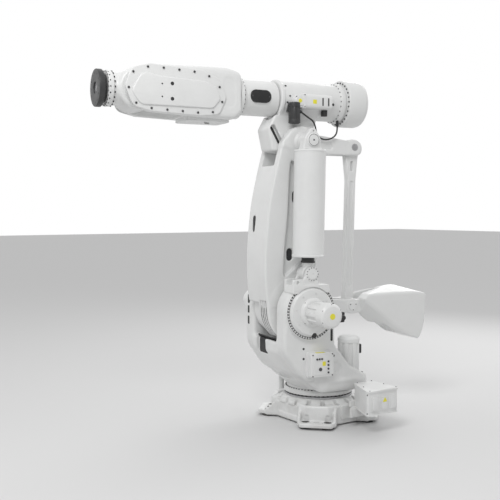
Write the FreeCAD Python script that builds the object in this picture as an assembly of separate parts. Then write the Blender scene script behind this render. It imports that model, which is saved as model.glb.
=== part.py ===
import FreeCAD, Part
import math
import os

# An industrial robot arm of the largest class: a round turret on a low cast base, a bowed lower arm
# with a balancing cylinder beside it, a parallel arm with a counterweight behind, and a long wrist.
# Sizes are in millimetres. The upper structure is drawn in the arm's own plane (X forward, Y to the
# side that carries the axis 2 motor, Z up) and then turned about the upright axis.

# how far the turret is turned from straight ahead
TURRET_TURN_DEG = 82.0
# the main centre distances
SHOULDER_X = 335.0
SHOULDER_Z = 1086.0
LOWER_LENGTH = 1566.0
LOWER_LEAN_DEG = 0.9
CRANK_LENGTH = 685.0
CRANK_DROP_DEG = 1.5
FOREARM_RISE = 400.0
ELBOW_TO_WRIST = 1552.0
WRIST_TO_FLANGE = 348.0
# base
FOOT_BOLT_X = 369.0
FOOT_BOLT_Y = 316.0
FOOT_BOLT_HALF = 104.0
FOOT_BOLT_HOLE_R = 19.0
FOOT_TOP = 58.0
PAD_HEIGHT = 22.0
BODY_HALF_X = 424.0
BODY_HALF_Y = 373.0
BODY_TOP = 195.0
# the gap between a turning piece and the face that carries it
SEAT = 0.3
RING_BOTTOM = 235.0
RING_TOP = 262.7
RING_R = 311.0
# turret
SWING_R = 486.0
DECK_BOTTOM = RING_TOP + SEAT
DECK_TOP = 432.0
CHEEK_IN = 225.0
CHEEK_OUT = 400.0
CHEEK_R = 262.0
GEAR_R = 246.0
GEAR_FACE = 443.0
MOTOR_R = 112.0
MOTOR_END = 800.0
# lower arm
ARM_HALF = 200.0
HUB_R = 322.0
CRANK_HUB_R = 270.0
HUB_SPLIT = 20.0
WEB_HALF = 158.0
FORK_IN = 125.0
PIN_R = 60.0
JOURNAL_R = 150.0
RUNNING = 0.05
# parallelogram
ROD_Y = -30.0
ROD_HALF_Y = 42.0
ROD_PIN_R = 38.0
CRANK_HALF_Z = 70.0
# balancing cylinder
SPRING_Y = 362.0
SPRING_EYE = 348.0
SPRING_R = 150.0
SPRING_BORE_R = 112.0
SPRING_ROD_R = 60.0
# forearm and wrist
TUBE_R = 162.0
DRUM_R = 224.0
TUBE_START = 516.0
WRIST_START = 950.0
WRIST_HALF_Y = 232.0
WRIST_HALF_Z = 238.0
FORK_DEPTH = 400.0
FORK_HALF = 168.0
FLANGE_R = 160.0
FLANGE_PCD = 250.0
FLANGE_HOLE_R = 8.0
FLANGE_HOLES = 12
# the free cable at the elbow, hung behind the near ear
CABLE_R = 7.5
GLAND_R = 14.0
CABLE_ROUTE = [
    (312.0, 196.0, 2925.0),
    (262.0, 194.0, 2895.0),
    (212.0, 176.0, 2874.0),
    (164.0, 152.0, 2860.0),
    (128.0, 134.0, 2822.0),
    (104.0, 112.0, 2776.0),
    (82.0, 94.0, 2734.0),
    (44.0, 87.0, 2704.0),
    (-14.0, 84.0, 2690.0),
    (-80.0, 82.0, 2702.0),
    (-130.0, 80.0, 2732.0),
    (-156.0, 77.0, 2774.0),
    (-156.0, 77.0, 2826.0),
]

LEAN = math.radians(LOWER_LEAN_DEG)
DROP = math.radians(CRANK_DROP_DEG)
ELBOW_X = SHOULDER_X - LOWER_LENGTH * math.sin(LEAN)
ELBOW_Z = SHOULDER_Z + LOWER_LENGTH * math.cos(LEAN)
CRANK_X = SHOULDER_X - CRANK_LENGTH * math.cos(DROP)
CRANK_Z = SHOULDER_Z - CRANK_LENGTH * math.sin(DROP)
LEVER_X = ELBOW_X - CRANK_LENGTH * math.cos(DROP)
LEVER_Z = ELBOW_Z - CRANK_LENGTH * math.sin(DROP)
AXIS_Z = ELBOW_Z + FOREARM_RISE
WRIST_X = ELBOW_X + ELBOW_TO_WRIST
FLANGE_X = WRIST_X + WRIST_TO_FLANGE
NOSE_END_X = FLANGE_X - 79.0

V = FreeCAD.Vector
X_DIR = V(1, 0, 0)
Y_DIR = V(0, 1, 0)
Z_DIR = V(0, 0, 1)


def block(x0, x1, y0, y1, z0, z1):
    """A box between two corners."""
    return Part.makeBox(x1 - x0, y1 - y0, z1 - z0, V(x0, y0, z0))


def drum_y(x, z, r, y0, y1):
    """A cylinder along Y."""
    return Part.makeCylinder(r, y1 - y0, V(x, y0, z), Y_DIR)


def drum_x(y, z, r, x0, x1):
    """A cylinder along X."""
    return Part.makeCylinder(r, x1 - x0, V(x0, y, z), X_DIR)


def drum_z(x, y, r, z0, z1):
    """An upright cylinder."""
    return Part.makeCylinder(r, z1 - z0, V(x, y, z0), Z_DIR)


def corner_arc(before, at, after, r):
    """Where a rounded corner starts, its middle and where it ends."""
    a = (before - at).normalize()
    b = (after - at).normalize()
    half = a.getAngle(b) / 2.0
    cut = r / math.tan(half)
    mid_dir = (a + b).normalize()
    centre = at + mid_dir * (r / math.sin(half))
    return at + a * cut, centre - mid_dir * r, at + b * cut


def rounded_wire(points):
    """A closed flat wire through (point, corner radius) pairs."""
    n = len(points)
    edges = []
    first = None
    last = None
    for i in range(n):
        before = points[i - 1][0]
        at, r = points[i]
        after = points[(i + 1) % n][0]
        if r > 0:
            start, mid, end = corner_arc(before, at, after, r)
        else:
            start, mid, end = at, None, at
        if last is None:
            first = start
        elif last.distanceToPoint(start) > 1e-6:
            edges.append(Part.makeLine(last, start))
        if mid is not None:
            edges.append(Part.Arc(start, mid, end).toShape())
        last = end
    if last.distanceToPoint(first) > 1e-6:
        edges.append(Part.makeLine(last, first))
    return Part.Wire(edges)


def side_plate(points, y0, y1):
    """A plate between two Y planes from (x, z, corner radius) points."""
    wire = rounded_wire([(V(x, y0, z), r) for x, z, r in points])
    return Part.Face(wire).extrude(V(0, y1 - y0, 0))


def flat_plate(points, z0, z1):
    """A plate between two heights from (x, y, corner radius) points."""
    wire = rounded_wire([(V(x, y, z0), r) for x, y, r in points])
    return Part.Face(wire).extrude(V(0, 0, z1 - z0))


def cable_along(route, r):
    """A round cable along straight runs joined by tangent arcs, with its radii printed."""
    points = [V(*p) for p in route]
    edges = []
    radii = []
    last = points[0]
    for before, at, after in zip(points, points[1:], points[2:]):
        half_turn = (at - before).getAngle(after - at) / 2.0
        shorter = min((at - before).Length, (after - at).Length)
        bend = 0.45 * shorter / math.tan(half_turn)
        radii.append(round(bend))
        start, mid, end = corner_arc(before, at, after, bend)
        edges.append(Part.makeLine(last, start))
        edges.append(Part.Arc(start, mid, end).toShape())
        last = end
    edges.append(Part.makeLine(last, points[-1]))
    path = Part.Wire(edges)
    section = Part.Wire([Part.makeCircle(r, points[0], points[1] - points[0])])
    cable = path.makePipeShell([section], True, True)
    expected = math.pi * r * r * path.Length
    print("cable radii", radii, "length", round(path.Length), "volume share", cable.Volume / expected)
    return cable


def gland(at, towards, length):
    """A cable gland that ends at a point and looks towards another."""
    out = V(*towards) - V(*at)
    out.normalize()
    return Part.makeCylinder(GLAND_R, length, V(*at) - out * length, out)


def cross_plate(points, x0, x1):
    """A plate between two X planes from (y, z, corner radius) points."""
    wire = rounded_wire([(V(x0, y, z), r) for y, z, r in points])
    return Part.Face(wire).extrude(V(x1 - x0, 0, 0))


def ring_of(shape_at, count, first_deg=0.0):
    """Copies of a shape made for each angle of a ring."""
    return [shape_at(first_deg + 360.0 * i / count) for i in range(count)]


def fused(shapes):
    """One solid from several that meet."""
    whole = shapes[0].fuse(shapes[1:]) if len(shapes) > 1 else shapes[0]
    return whole.removeSplitter()


def bolt_heads_y(x, z, ring_r, count, r, y0, y1, first_deg=0.0):
    """Bolt heads in a ring on a face that looks along Y."""

    def one(deg):
        a = math.radians(deg)
        return drum_y(x + ring_r * math.cos(a), z + ring_r * math.sin(a), r, y0, y1)

    return ring_of(one, count, first_deg)


def bolt_heads_x(z, ring_r, count, r, x0, x1, first_deg=0.0):
    """Bolt heads in a ring round the forearm's own axis."""

    def one(deg):
        a = math.radians(deg)
        return drum_x(ring_r * math.cos(a), z + ring_r * math.sin(a), r, x0, x1)

    return ring_of(one, count, first_deg)


def bolt_heads_z(x, y, ring_r, count, r, z0, z1, first_deg=0.0):
    """Bolt heads in a ring on a level face."""

    def one(deg):
        a = math.radians(deg)
        return drum_z(x + ring_r * math.cos(a), y + ring_r * math.sin(a), r, z0, z1)

    return ring_of(one, count, first_deg)


# ---------------------------------------------------------------- base


def foot_centre(sx, sy):
    return V(sx * FOOT_BOLT_X, sy * FOOT_BOLT_Y, 0)


def foot_bolts(sx, sy):
    """The two bolt centres of a foot, along the edge that cuts off its corner."""
    c = foot_centre(sx, sy)
    t = V(-sx, sy, 0).normalize()
    return [c + t * FOOT_BOLT_HALF, c - t * FOOT_BOLT_HALF]


def foot_plate(sx, sy):
    """One foot: a thick plate across the corner."""
    c = foot_centre(sx, sy)
    out = V(sx, sy, 0).normalize()
    t = V(-sx, sy, 0).normalize()
    pts = [
        (c + out * 100 + t * 150, 22.0),
        (c + out * 100 - t * 150, 22.0),
        (c - out * 10 - t * 178, 8.0),
        (c - out * 170 - t * 178, 0.0),
        (c - out * 170 + t * 178, 0.0),
        (c - out * 10 + t * 178, 8.0),
    ]
    return flat_plate([(p.x, p.y, r) for p, r in pts], PAD_HEIGHT, FOOT_TOP)


def foot_rib(sx, sy, side):
    """The upright rib beside a foot that runs up the body's corner."""
    c = foot_centre(sx, sy)
    out = V(sx, sy, 0).normalize()
    t = V(-sx, sy, 0).normalize() * side
    a = c + t * 178 + out * 10
    b = c + t * 178 - out * 130
    p = [a + V(0, 0, PAD_HEIGHT), b + V(0, 0, PAD_HEIGHT), b + V(0, 0, BODY_TOP - 10)]
    p.append(a + V(0, 0, FOOT_TOP + 22) - out * 20)
    p.append(p[0])
    face = Part.Face(Part.makePolygon(p))
    return face.extrude(t * -26)


def body_outline(grow):
    x = BODY_HALF_X + grow
    y = BODY_HALF_Y + grow
    cut = 150.0
    return [
        (x, y - cut, 30.0),
        (x - cut, y, 30.0),
        (-x + cut, y, 30.0),
        (-x, y - cut, 30.0),
        (-x, -y + cut, 30.0),
        (-x + cut, -y, 30.0),
        (x - cut, -y, 30.0),
        (x, -y + cut, 30.0),
    ]


def top_pocket(deg):
    """One recess between the ribs that run up to the slewing ring."""
    pts = [(352, -34, 10.0), (398, -42, 10.0), (398, 42, 10.0), (352, 34, 10.0)]
    cut = flat_plate(pts, BODY_TOP - 55, BODY_TOP + 60)
    cut.rotate(V(0, 0, 0), Z_DIR, deg)
    return cut


def base_casting():
    """The low casting that the slewing ring sits on, hollow under, with four feet."""
    body = flat_plate(body_outline(0.0), 12.0, BODY_TOP)
    slope = Part.makeCone(412.0, 338.0, RING_BOTTOM - BODY_TOP, V(0, 0, BODY_TOP), Z_DIR)
    slope = slope.common(flat_plate(body_outline(-12.0), BODY_TOP, RING_BOTTOM))
    parts = [body, slope]
    for sx in (-1, 1):
        for sy in (-1, 1):
            parts.append(foot_plate(sx, sy))
            parts.append(foot_rib(sx, sy, 1))
            parts.append(foot_rib(sx, sy, -1))
    whole = fused(parts)
    hollow = flat_plate(body_outline(-32.0), 0.0, BODY_TOP - 62)
    hollow = hollow.fuse(drum_z(0, 0, 205.0, 0.0, RING_BOTTOM + 5))
    whole = whole.cut(hollow)
    for deg in range(0, 360, 20):
        whole = whole.cut(top_pocket(deg + 10))
    for sx in (-1, 1):
        for sy in (-1, 1):
            for p in foot_bolts(sx, sy):
                whole = whole.cut(drum_z(p.x, p.y, FOOT_BOLT_HOLE_R, 0, FOOT_TOP + 30))
                whole = whole.cut(drum_z(p.x, p.y, 36.0, FOOT_TOP - 6, FOOT_TOP + 30))
    whole = whole.cut(window(-BODY_HALF_X + 90, 1))
    whole = whole.cut(window(BODY_HALF_X - 90, 1))
    return whole


def window(x, side):
    """A round opening through the long wall."""
    return Part.makeCylinder(38.0, 90.0, V(x, side * BODY_HALF_Y - side * 60, 95), V(0, side, 0))


def levelling_pads(sx, sy):
    """The two round pads under one foot, joined by the strip they are bolted through."""
    discs = []
    for p in foot_bolts(sx, sy):
        disc = drum_z(p.x, p.y, 58.0, 0.0, PAD_HEIGHT)
        discs.append(disc)
    a, b = foot_bolts(sx, sy)
    mid = (a + b) * 0.5
    along = (a - b).normalize()
    across = V(-along.y, along.x, 0)
    pts = [mid + along * 70 + across * 20, mid - along * 70 + across * 20]
    pts += [mid - along * 70 - across * 20, mid + along * 70 - across * 20]
    strip = flat_plate([(p.x, p.y, 0.0) for p in pts], 4.0, PAD_HEIGHT)
    whole = fused(discs + [strip])
    for p in (a, b):
        whole = whole.cut(drum_z(p.x, p.y, FOOT_BOLT_HOLE_R, -1, PAD_HEIGHT + 1))
    return whole


def slewing_ring():
    """The fixed ring with its bolts, on top of the base."""
    ring = drum_z(0, 0, RING_R + 22, RING_BOTTOM, RING_BOTTOM + 14)
    ring = ring.fuse(drum_z(0, 0, RING_R - 12, RING_BOTTOM + 14, RING_TOP))
    ring = ring.cut(drum_z(0, 0, 210.0, RING_BOTTOM - 1, RING_TOP + 1))
    heads = bolt_heads_z(0, 0, RING_R + 6, 36, 9.0, RING_BOTTOM + 14, RING_TOP - 2, 5.0)
    return fused([ring] + heads)


def connection_box():
    """The box at the back of the base where the cables arrive."""
    back = -BODY_HALF_X
    inner = -SWING_R - 14
    box = rounded_box(-844.0, inner, -247.0, 111.0, 183.0, 386.0, 14.0)
    lid = rounded_box(-850.0, inner, -253.0, 117.0, 386.0, 401.0, 14.0)
    bracket = block(inner - 60, back - 14, -190.0, 60.0, 100.0, 183.0)
    flange = block(back - 14, back, -200.0, 70.0, 60.0, 184.0)
    duct = block(inner, back - 14, -150.0, 20.0, 183.0, 240.0)
    sockets = []
    for i in range(3):
        sockets.append(block(-862.0, -844.0, -220.0 + 108 * i, -146.0 + 108 * i, 215.0, 350.0))
    return fused([box, lid, bracket, flange, duct] + sockets)


def rounded_box(x0, x1, y0, y1, z0, z1, r):
    """A box with its four upright edges rounded."""
    return flat_plate([(x0, y0, r), (x1, y0, r), (x1, y1, r), (x0, y1, r)], z0, z1)


def stop_lug():
    """The low lug on the base for the turning stop."""
    lug = flat_plate([(-42, 330, 6.0), (42, 330, 6.0), (30, 412, 12.0), (-30, 412, 12.0)], 150.0, 222.0)
    lug.rotate(V(0, 0, 0), Z_DIR, 37.0 - 90.0)
    return lug


# ---------------------------------------------------------------- turret


def turret_table():
    """The round table that turns on the slewing ring."""
    table = drum_z(0, 0, RING_R + 24, DECK_BOTTOM, DECK_BOTTOM + 46)
    table = table.fuse(drum_z(0, 0, RING_R, DECK_BOTTOM + 46, DECK_BOTTOM + 90))
    table = table.cut(drum_z(0, 0, 150.0, DECK_BOTTOM - 1, DECK_BOTTOM + 91))
    return table.removeSplitter()


def cheek_points():
    """The side outline of one cheek, from the turning table up round the shoulder."""
    front = SHOULDER_X + CHEEK_R
    back = SHOULDER_X - CHEEK_R
    top = SHOULDER_Z + CHEEK_R
    return [
        (-300.0, DECK_BOTTOM + 46, 20.0),
        (200.0, DECK_BOTTOM + 46, 60.0),
        (440.0, 500.0, 120.0),
        (front, 720.0, 200.0),
        (front, top, 255.0),
        (back, top, 255.0),
        (back - 20, 760.0, 80.0),
        (-110.0, 560.0, 60.0),
        (-300.0, DECK_TOP + 20, 40.0),
    ]


def turret_frame():
    """The big casting: two cheeks, the saddle that joins them and the deck behind."""
    near = side_plate(cheek_points(), CHEEK_IN, CHEEK_OUT)
    far = side_plate(cheek_points(), -CHEEK_OUT, -CHEEK_IN)
    deck = flat_plate(
        [(-330, -395, 60.0), (250, -400, 120.0), (250, 400, 120.0), (-330, 395, 60.0)],
        DECK_BOTTOM + 90,
        DECK_TOP,
    )
    neck = Part.makeCone(RING_R, RING_R + 40, 60.0, V(0, 0, DECK_BOTTOM + 70), Z_DIR)
    saddle = side_plate(
        [
            (-40.0, DECK_TOP - 10, 0.0),
            (240.0, DECK_TOP - 90, 0.0),
            (455.0, 512.0, 100.0),
            (582.0, 690.0, 60.0),
            (588.0, 795.0, 12.0),
            (520.0, 795.0, 0.0),
            (60.0, 600.0, 0.0),
        ],
        -CHEEK_IN,
        CHEEK_IN,
    )
    saddle = saddle.cut(drum_y(SHOULDER_X, SHOULDER_Z, HUB_R + 14, -CHEEK_IN, CHEEK_IN))
    saddle = saddle.cut(side_plate(
        [(500.0, 650.0, 20.0), (700.0, 650.0, 0.0), (700.0, 800.0, 0.0), (540.0, 800.0, 20.0)],
        -150.0, 130.0))
    whole = fused([near, far, deck, neck, saddle])
    outside = drum_z(0, 0, 900.0, DECK_BOTTOM - 5, DECK_TOP).cut(drum_z(0, 0, SWING_R, 200.0, 500.0))
    whole = whole.cut(outside)
    whole = whole.cut(drum_z(0, 0, 150.0, DECK_BOTTOM - 1, DECK_TOP - 30))
    for side in (1, -1):
        y0, y1 = (CHEEK_IN - 1, CHEEK_OUT + 1) if side > 0 else (-CHEEK_OUT - 1, -CHEEK_IN + 1)
        whole = whole.cut(drum_y(SHOULDER_X, SHOULDER_Z, JOURNAL_R + 20, y0, y1))
    return whole


def gear_unit(side):
    """A reduction gear bolted in its cheek, with the journal that carries the hub inside."""
    ring = drum_y(SHOULDER_X, SHOULDER_Z, GEAR_R, CHEEK_OUT, GEAR_FACE)
    step = drum_y(SHOULDER_X, SHOULDER_Z, GEAR_R - 42, GEAR_FACE, GEAR_FACE + 22)
    core = drum_y(SHOULDER_X, SHOULDER_Z, JOURNAL_R + 20, CHEEK_IN + 6, CHEEK_OUT)
    journal = drum_y(SHOULDER_X, SHOULDER_Z, JOURNAL_R, 110.0, CHEEK_IN + 6)
    heads = bolt_heads_y(SHOULDER_X, SHOULDER_Z, GEAR_R - 20, 24, 11.0, GEAR_FACE, GEAR_FACE + 12)
    whole = fused([ring, step, core, journal] + heads)
    if side < 0:
        whole = whole.mirror(V(0, 0, 0), Y_DIR)
    return whole


def shoulder_motor(side):
    """The finned motor on a shoulder gear, with its round cap and its connector."""
    y0 = GEAR_FACE + 22
    body = drum_y(SHOULDER_X, SHOULDER_Z, MOTOR_R - 12, y0, MOTOR_END)
    flange = drum_y(SHOULDER_X, SHOULDER_Z, MOTOR_R + 30, y0, y0 + 34)
    cap = drum_y(SHOULDER_X, SHOULDER_Z, MOTOR_R, MOTOR_END - 60, MOTOR_END)
    fins = []
    for i in range(24):
        fin = block(MOTOR_R - 20, MOTOR_R, y0 + 34, MOTOR_END - 60, -4.0, 4.0)
        fin.rotate(V(0, 0, 0), Y_DIR, 15.0 * i)
        fin.translate(V(SHOULDER_X, 0, SHOULDER_Z))
        fins.append(fin)
    socket = block(SHOULDER_X - 190, SHOULDER_X - 90, y0 + 60, y0 + 150, SHOULDER_Z - 45, SHOULDER_Z + 45)
    whole = fused([body, flange, cap, socket] + fins)
    if side < 0:
        whole = whole.mirror(V(0, 0, 0), Y_DIR)
    return whole


def axis1_motor():
    """The upright motor on the deck, with its square flange."""
    x, y = -175.0, 268.0
    plate = rounded_box(x - 120, x + 120, y - 118, y + 118, DECK_TOP, DECK_TOP + 30, 26.0)
    body = drum_z(x, y, 92.0, DECK_TOP + 30, 800.0)
    cap = drum_z(x, y, 104.0, 752.0, 816.0)
    fins = []
    for i in range(20):
        fin = block(84.0, 104.0, -4.0, 4.0, DECK_TOP + 60, 752.0)
        fin.rotate(V(0, 0, 0), Z_DIR, 18.0 * i)
        fin.translate(V(x, y, 0))
        fins.append(fin)
    return fused([plate, body, cap] + fins)


def brake_box():
    """The small box with the brake release buttons, on a foot on the near cheek."""
    foot = block(120.0, 350.0, CHEEK_OUT, CHEEK_OUT + 14, 488.0, 712.0)
    box = rounded_side_box(112.0, 360.0, 480.0, 712.0, CHEEK_OUT + 14, CHEEK_OUT + 74, 16.0)
    buttons = []
    for i in range(4):
        for j in range(2):
            x = 156.0 + 52.0 * i
            z = 545.0 + 90.0 * j
            buttons.append(drum_y(x, z, 13.0, CHEEK_OUT + 74, CHEEK_OUT + 88))
    return fused([foot, box] + buttons[:7])


def rounded_side_box(x0, x1, z0, z1, y0, y1, r):
    """A box with its four edges along Y rounded."""
    return side_plate([(x0, z0, r), (x1, z0, r), (x1, z1, r), (x0, z1, r)], y0, y1)


def stop_post():
    """The turning stop's post, hanging from the front of the deck."""
    return drum_z(268.0, -268.0, 27.0, 240.0, DECK_TOP - 20)


def spring_bracket():
    """The two lugs on the near cheek that hold the balancing cylinder's lower eye."""
    ex, ez = SHOULDER_X, SHOULDER_Z + SPRING_EYE
    top = SHOULDER_Z + CHEEK_R
    lugs = []
    for y0, y1 in ((SPRING_Y - 86, SPRING_Y - 52), (SPRING_Y + 52, SPRING_Y + 86)):
        lug = side_plate(
            [(ex - 190, top - 40, 20.0), (ex + 200, top - 40, 20.0), (ex + 60, ez + 72, 60.0),
             (ex - 60, ez + 72, 60.0)], y0, y1)
        lugs.append(lug)
    seat = side_plate(
        [(ex - 200, top - 62, 10.0), (ex + 210, top - 62, 10.0), (ex + 190, top - 10, 10.0),
         (ex - 180, top - 10, 10.0)], SPRING_Y - 90, SPRING_Y + 90)
    seat = seat.cut(drum_y(SHOULDER_X, SHOULDER_Z, CHEEK_R - 30, SPRING_Y - 95, SPRING_Y + 95))
    pin = drum_y(ex, ez, 40.0, SPRING_Y - 96, SPRING_Y + 96)
    return fused(lugs + [seat, pin])


# ---------------------------------------------------------------- lower arm


def lower_arm_front():
    """The bowed front edge of the lower arm, top to bottom, as (x, z)."""
    return [(505.0, 2640.0), (523.0, 2591.0), (586.0, 2351.0), (638.0, 2112.0), (670.0, 1873.0),
            (688.0, 1635.0), (690.0, 1443.0), (678.0, 1251.0), (SHOULDER_X + HUB_R, 1110.0)]


def bowed_face(front, back, y0, y1):
    """A plate whose front edge is a smooth curve and whose back edge is a polygon."""
    curve = Part.BSplineCurve()
    curve.interpolate([V(x, y0, z) for x, z in front])
    back_pts = [V(x, y0, z) for x, z in back]
    chain = [V(front[-1][0], y0, front[-1][1])] + back_pts + [V(front[0][0], y0, front[0][1])]
    wire = Part.Wire([curve.toShape()] + [Part.makeLine(a, b) for a, b in zip(chain, chain[1:])])
    return Part.Face(wire).extrude(V(0, y1 - y0, 0))


def lower_arm_casting():
    """The bowed casting with its recessed webs, forked top and drum at the shoulder."""
    back = [(SHOULDER_X, 1110.0), (215.0, 1330.0), (200.0, 1390.0), (140.0, 1490.0), (128.0, 1640.0),
            (122.0, 2110.0), (110.0, 2492.0), (168.0, 2640.0)]
    whole = bowed_face(lower_arm_front(), back, -ARM_HALF, ARM_HALF)
    ear = drum_y(ELBOW_X, ELBOW_Z, 148.0, -ARM_HALF - 5, ARM_HALF + 5)
    ear_front = side_plate(
        [(ELBOW_X - 60, ELBOW_Z - 100, 0.0), (516.0, 2600.0, 10.0), (498.0, 2668.0, 30.0),
         (ELBOW_X + 52, ELBOW_Z + 134, 30.0), (ELBOW_X - 60, ELBOW_Z + 60, 0.0)],
        -ARM_HALF - 5, ARM_HALF + 5)
    hub = drum_y(SHOULDER_X, SHOULDER_Z, HUB_R, -ARM_HALF, ARM_HALF)
    whole = fused([whole, ear, ear_front, hub])
    recess = [(415.0, 2470.0), (428.0, 2386.0), (438.0, 2201.0), (453.0, 1923.0), (474.0, 1738.0),
              (488.0, 1552.0), (493.0, 1441.0), (480.0, 1400.0)]
    recess_back = [(300.0, 1400.0), (195.0, 1520.0), (182.0, 1640.0), (176.0, 2110.0), (168.0, 2440.0),
                   (230.0, 2500.0)]
    for y0, y1 in ((WEB_HALF, ARM_HALF + 10), (-ARM_HALF - 10, -WEB_HALF)):
        whole = whole.cut(bowed_face(recess, recess_back, y0, y1))
    whole = whole.cut(drum_y(ELBOW_X, ELBOW_Z, 334.0, -FORK_IN, FORK_IN))
    whole = whole.cut(block(-200, 900, -FORK_IN, FORK_IN, ELBOW_Z, ELBOW_Z + 400))
    channel = side_plate(
        [(60.0, ELBOW_Z - 120, 0.0), (60.0, 1540.0, 0.0), (210.0, 1500.0, 60.0), (520.0, 1480.0, 80.0),
         (560.0, 1700.0, 200.0), (500.0, 2120.0, 300.0), (ELBOW_X + 140, ELBOW_Z - 240, 0.0),
         (ELBOW_X, ELBOW_Z - 120, 0.0)],
        -FORK_IN, FORK_IN)
    whole = whole.cut(channel)
    for x, z in ((322.0, 2139.0), (385.0, 1647.0), (250.0, 1900.0)):
        hole = side_plate([(x - 34, z - 62, 33.0), (x + 34, z - 62, 33.0), (x + 34, z + 62, 33.0),
                           (x - 34, z + 62, 33.0)], -ARM_HALF, ARM_HALF)
        whole = whole.cut(hole)
    whole = whole.cut(drum_y(SHOULDER_X, SHOULDER_Z, CRANK_HUB_R + 12, -ARM_HALF - 10, HUB_SPLIT))
    low = block(-100, SHOULDER_X + HUB_R + 50, -ARM_HALF - 10, HUB_SPLIT, 700.0, 1150.0)
    rear = block(-100, SHOULDER_X - 143, -ARM_HALF - 10, HUB_SPLIT, 700.0, 1420.0)
    whole = whole.cut(low).cut(rear)
    whole = whole.cut(drum_y(SHOULDER_X, SHOULDER_Z, JOURNAL_R + RUNNING, HUB_SPLIT - 5, ARM_HALF + 10))
    whole = whole.cut(drum_y(ELBOW_X, ELBOW_Z, PIN_R + RUNNING, -ARM_HALF - 10, ARM_HALF + 10))
    for y in (52.0, 104.0, 156.0):
        groove = drum_y(SHOULDER_X, SHOULDER_Z, HUB_R + 60, y - 5, y + 5)
        groove = groove.cut(drum_y(SHOULDER_X, SHOULDER_Z, HUB_R - 10, y - 6, y + 6))
        groove = groove.common(block(0, 900, 0, 300, 700, 1180))
        whole = whole.cut(groove)
    return whole


def spring_top_pin():
    """The stub on the near ear that the balancing cylinder hangs from, with its cap."""
    r0 = ARM_HALF + 5
    seat = drum_y(ELBOW_X, ELBOW_Z, 80.0, r0, r0 + 26).cut(
        drum_y(ELBOW_X, ELBOW_Z, PIN_R + 8, r0 - 1, r0 + 14))
    stub = drum_y(ELBOW_X, ELBOW_Z, 46.0, r0 + 14, SPRING_Y + 66)
    cap = drum_y(ELBOW_X, ELBOW_Z, 62.0, SPRING_Y + 52, SPRING_Y + 66)
    return fused([seat, stub, cap])


def elbow_pin():
    """The shaft through both ears that the forearm house turns on."""
    return drum_y(ELBOW_X, ELBOW_Z, PIN_R, -ARM_HALF - 12, ARM_HALF + 12)


def spring_cylinder():
    """The balancing cylinder: a closed tube with the clevis it hangs by."""
    top = ELBOW_Z - 90
    bottom = ELBOW_Z - 1066
    tube = drum_z(ELBOW_X, SPRING_Y, SPRING_R, bottom, top)
    tube = tube.cut(drum_z(ELBOW_X, SPRING_Y, SPRING_BORE_R, bottom - 1, top - 30))
    eye = drum_y(ELBOW_X, ELBOW_Z, 78.0, SPRING_Y - 46, SPRING_Y + 46)
    stem = side_plate(
        [(ELBOW_X - 76, ELBOW_Z, 0.0), (ELBOW_X - 108, top - 4, 0.0), (ELBOW_X + 108, top - 4, 0.0),
         (ELBOW_X + 76, ELBOW_Z, 0.0)], SPRING_Y - 46, SPRING_Y + 46)
    whole = fused([tube, eye, stem])
    whole = whole.cut(drum_y(ELBOW_X, ELBOW_Z, 46.0 + RUNNING, SPRING_Y - 60, SPRING_Y + 60))
    lean = math.degrees(math.atan2(SHOULDER_X - ELBOW_X, LOWER_LENGTH - SPRING_EYE))
    whole.rotate(V(ELBOW_X, 0, ELBOW_Z), Y_DIR, -lean)
    return whole


def spring_rod():
    """The rod of the balancing cylinder with its lower eye."""
    ex, ez = SHOULDER_X, SHOULDER_Z + SPRING_EYE
    eye = drum_y(ex, ez, 77.0, SPRING_Y - 44, SPRING_Y + 44)
    neck = drum_z(ex, SPRING_Y, 43.0, ez + 30, ez + 120)
    rod = drum_z(ex, SPRING_Y, SPRING_ROD_R, ez + 104, ez + 1060)
    whole = fused([eye, neck, rod])
    whole = whole.cut(drum_y(ex, ez, 40.0 + RUNNING, SPRING_Y - 60, SPRING_Y + 60))
    lean = math.degrees(math.atan2(SHOULDER_X - ELBOW_X, LOWER_LENGTH - SPRING_EYE))
    whole.rotate(V(ex, 0, ez), Y_DIR, -lean)
    return whole


# ---------------------------------------------------------------- parallel arm


def parallel_arm():
    """The crank: a hub beside the lower arm's drum and a fork that holds the rod's foot."""
    hub = drum_y(SHOULDER_X, SHOULDER_Z, CRANK_HUB_R, -ARM_HALF, HUB_SPLIT - 12)
    z0, z1 = SHOULDER_Z - CRANK_HALF_Z, SHOULDER_Z + CRANK_HALF_Z
    end = SHOULDER_X - CRANK_LENGTH
    rim = SHOULDER_X - HUB_R
    neck = block(rim - 138, SHOULDER_X - 100, -160.0, -10.0, z0 - 10, z1)
    fork = block(end - 120, rim - 23, -160.0, ROD_Y + 100, z0, z1)
    slot = block(end - 200, rim - 113,
                 ROD_Y - ROD_HALF_Y - 8, ROD_Y + ROD_HALF_Y + 8, z0 - 20, z1 + 20)
    whole = fused([hub, neck, fork]).cut(slot)
    whole = whole.cut(drum_y(SHOULDER_X, SHOULDER_Z, JOURNAL_R + RUNNING, -ARM_HALF - 10, -20.0))
    whole = whole.cut(
        drum_y(SHOULDER_X - CRANK_LENGTH, SHOULDER_Z, ROD_PIN_R + RUNNING, -200.0, 100.0))
    whole.rotate(V(SHOULDER_X, 0, SHOULDER_Z), Y_DIR, -CRANK_DROP_DEG)
    return whole


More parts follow.
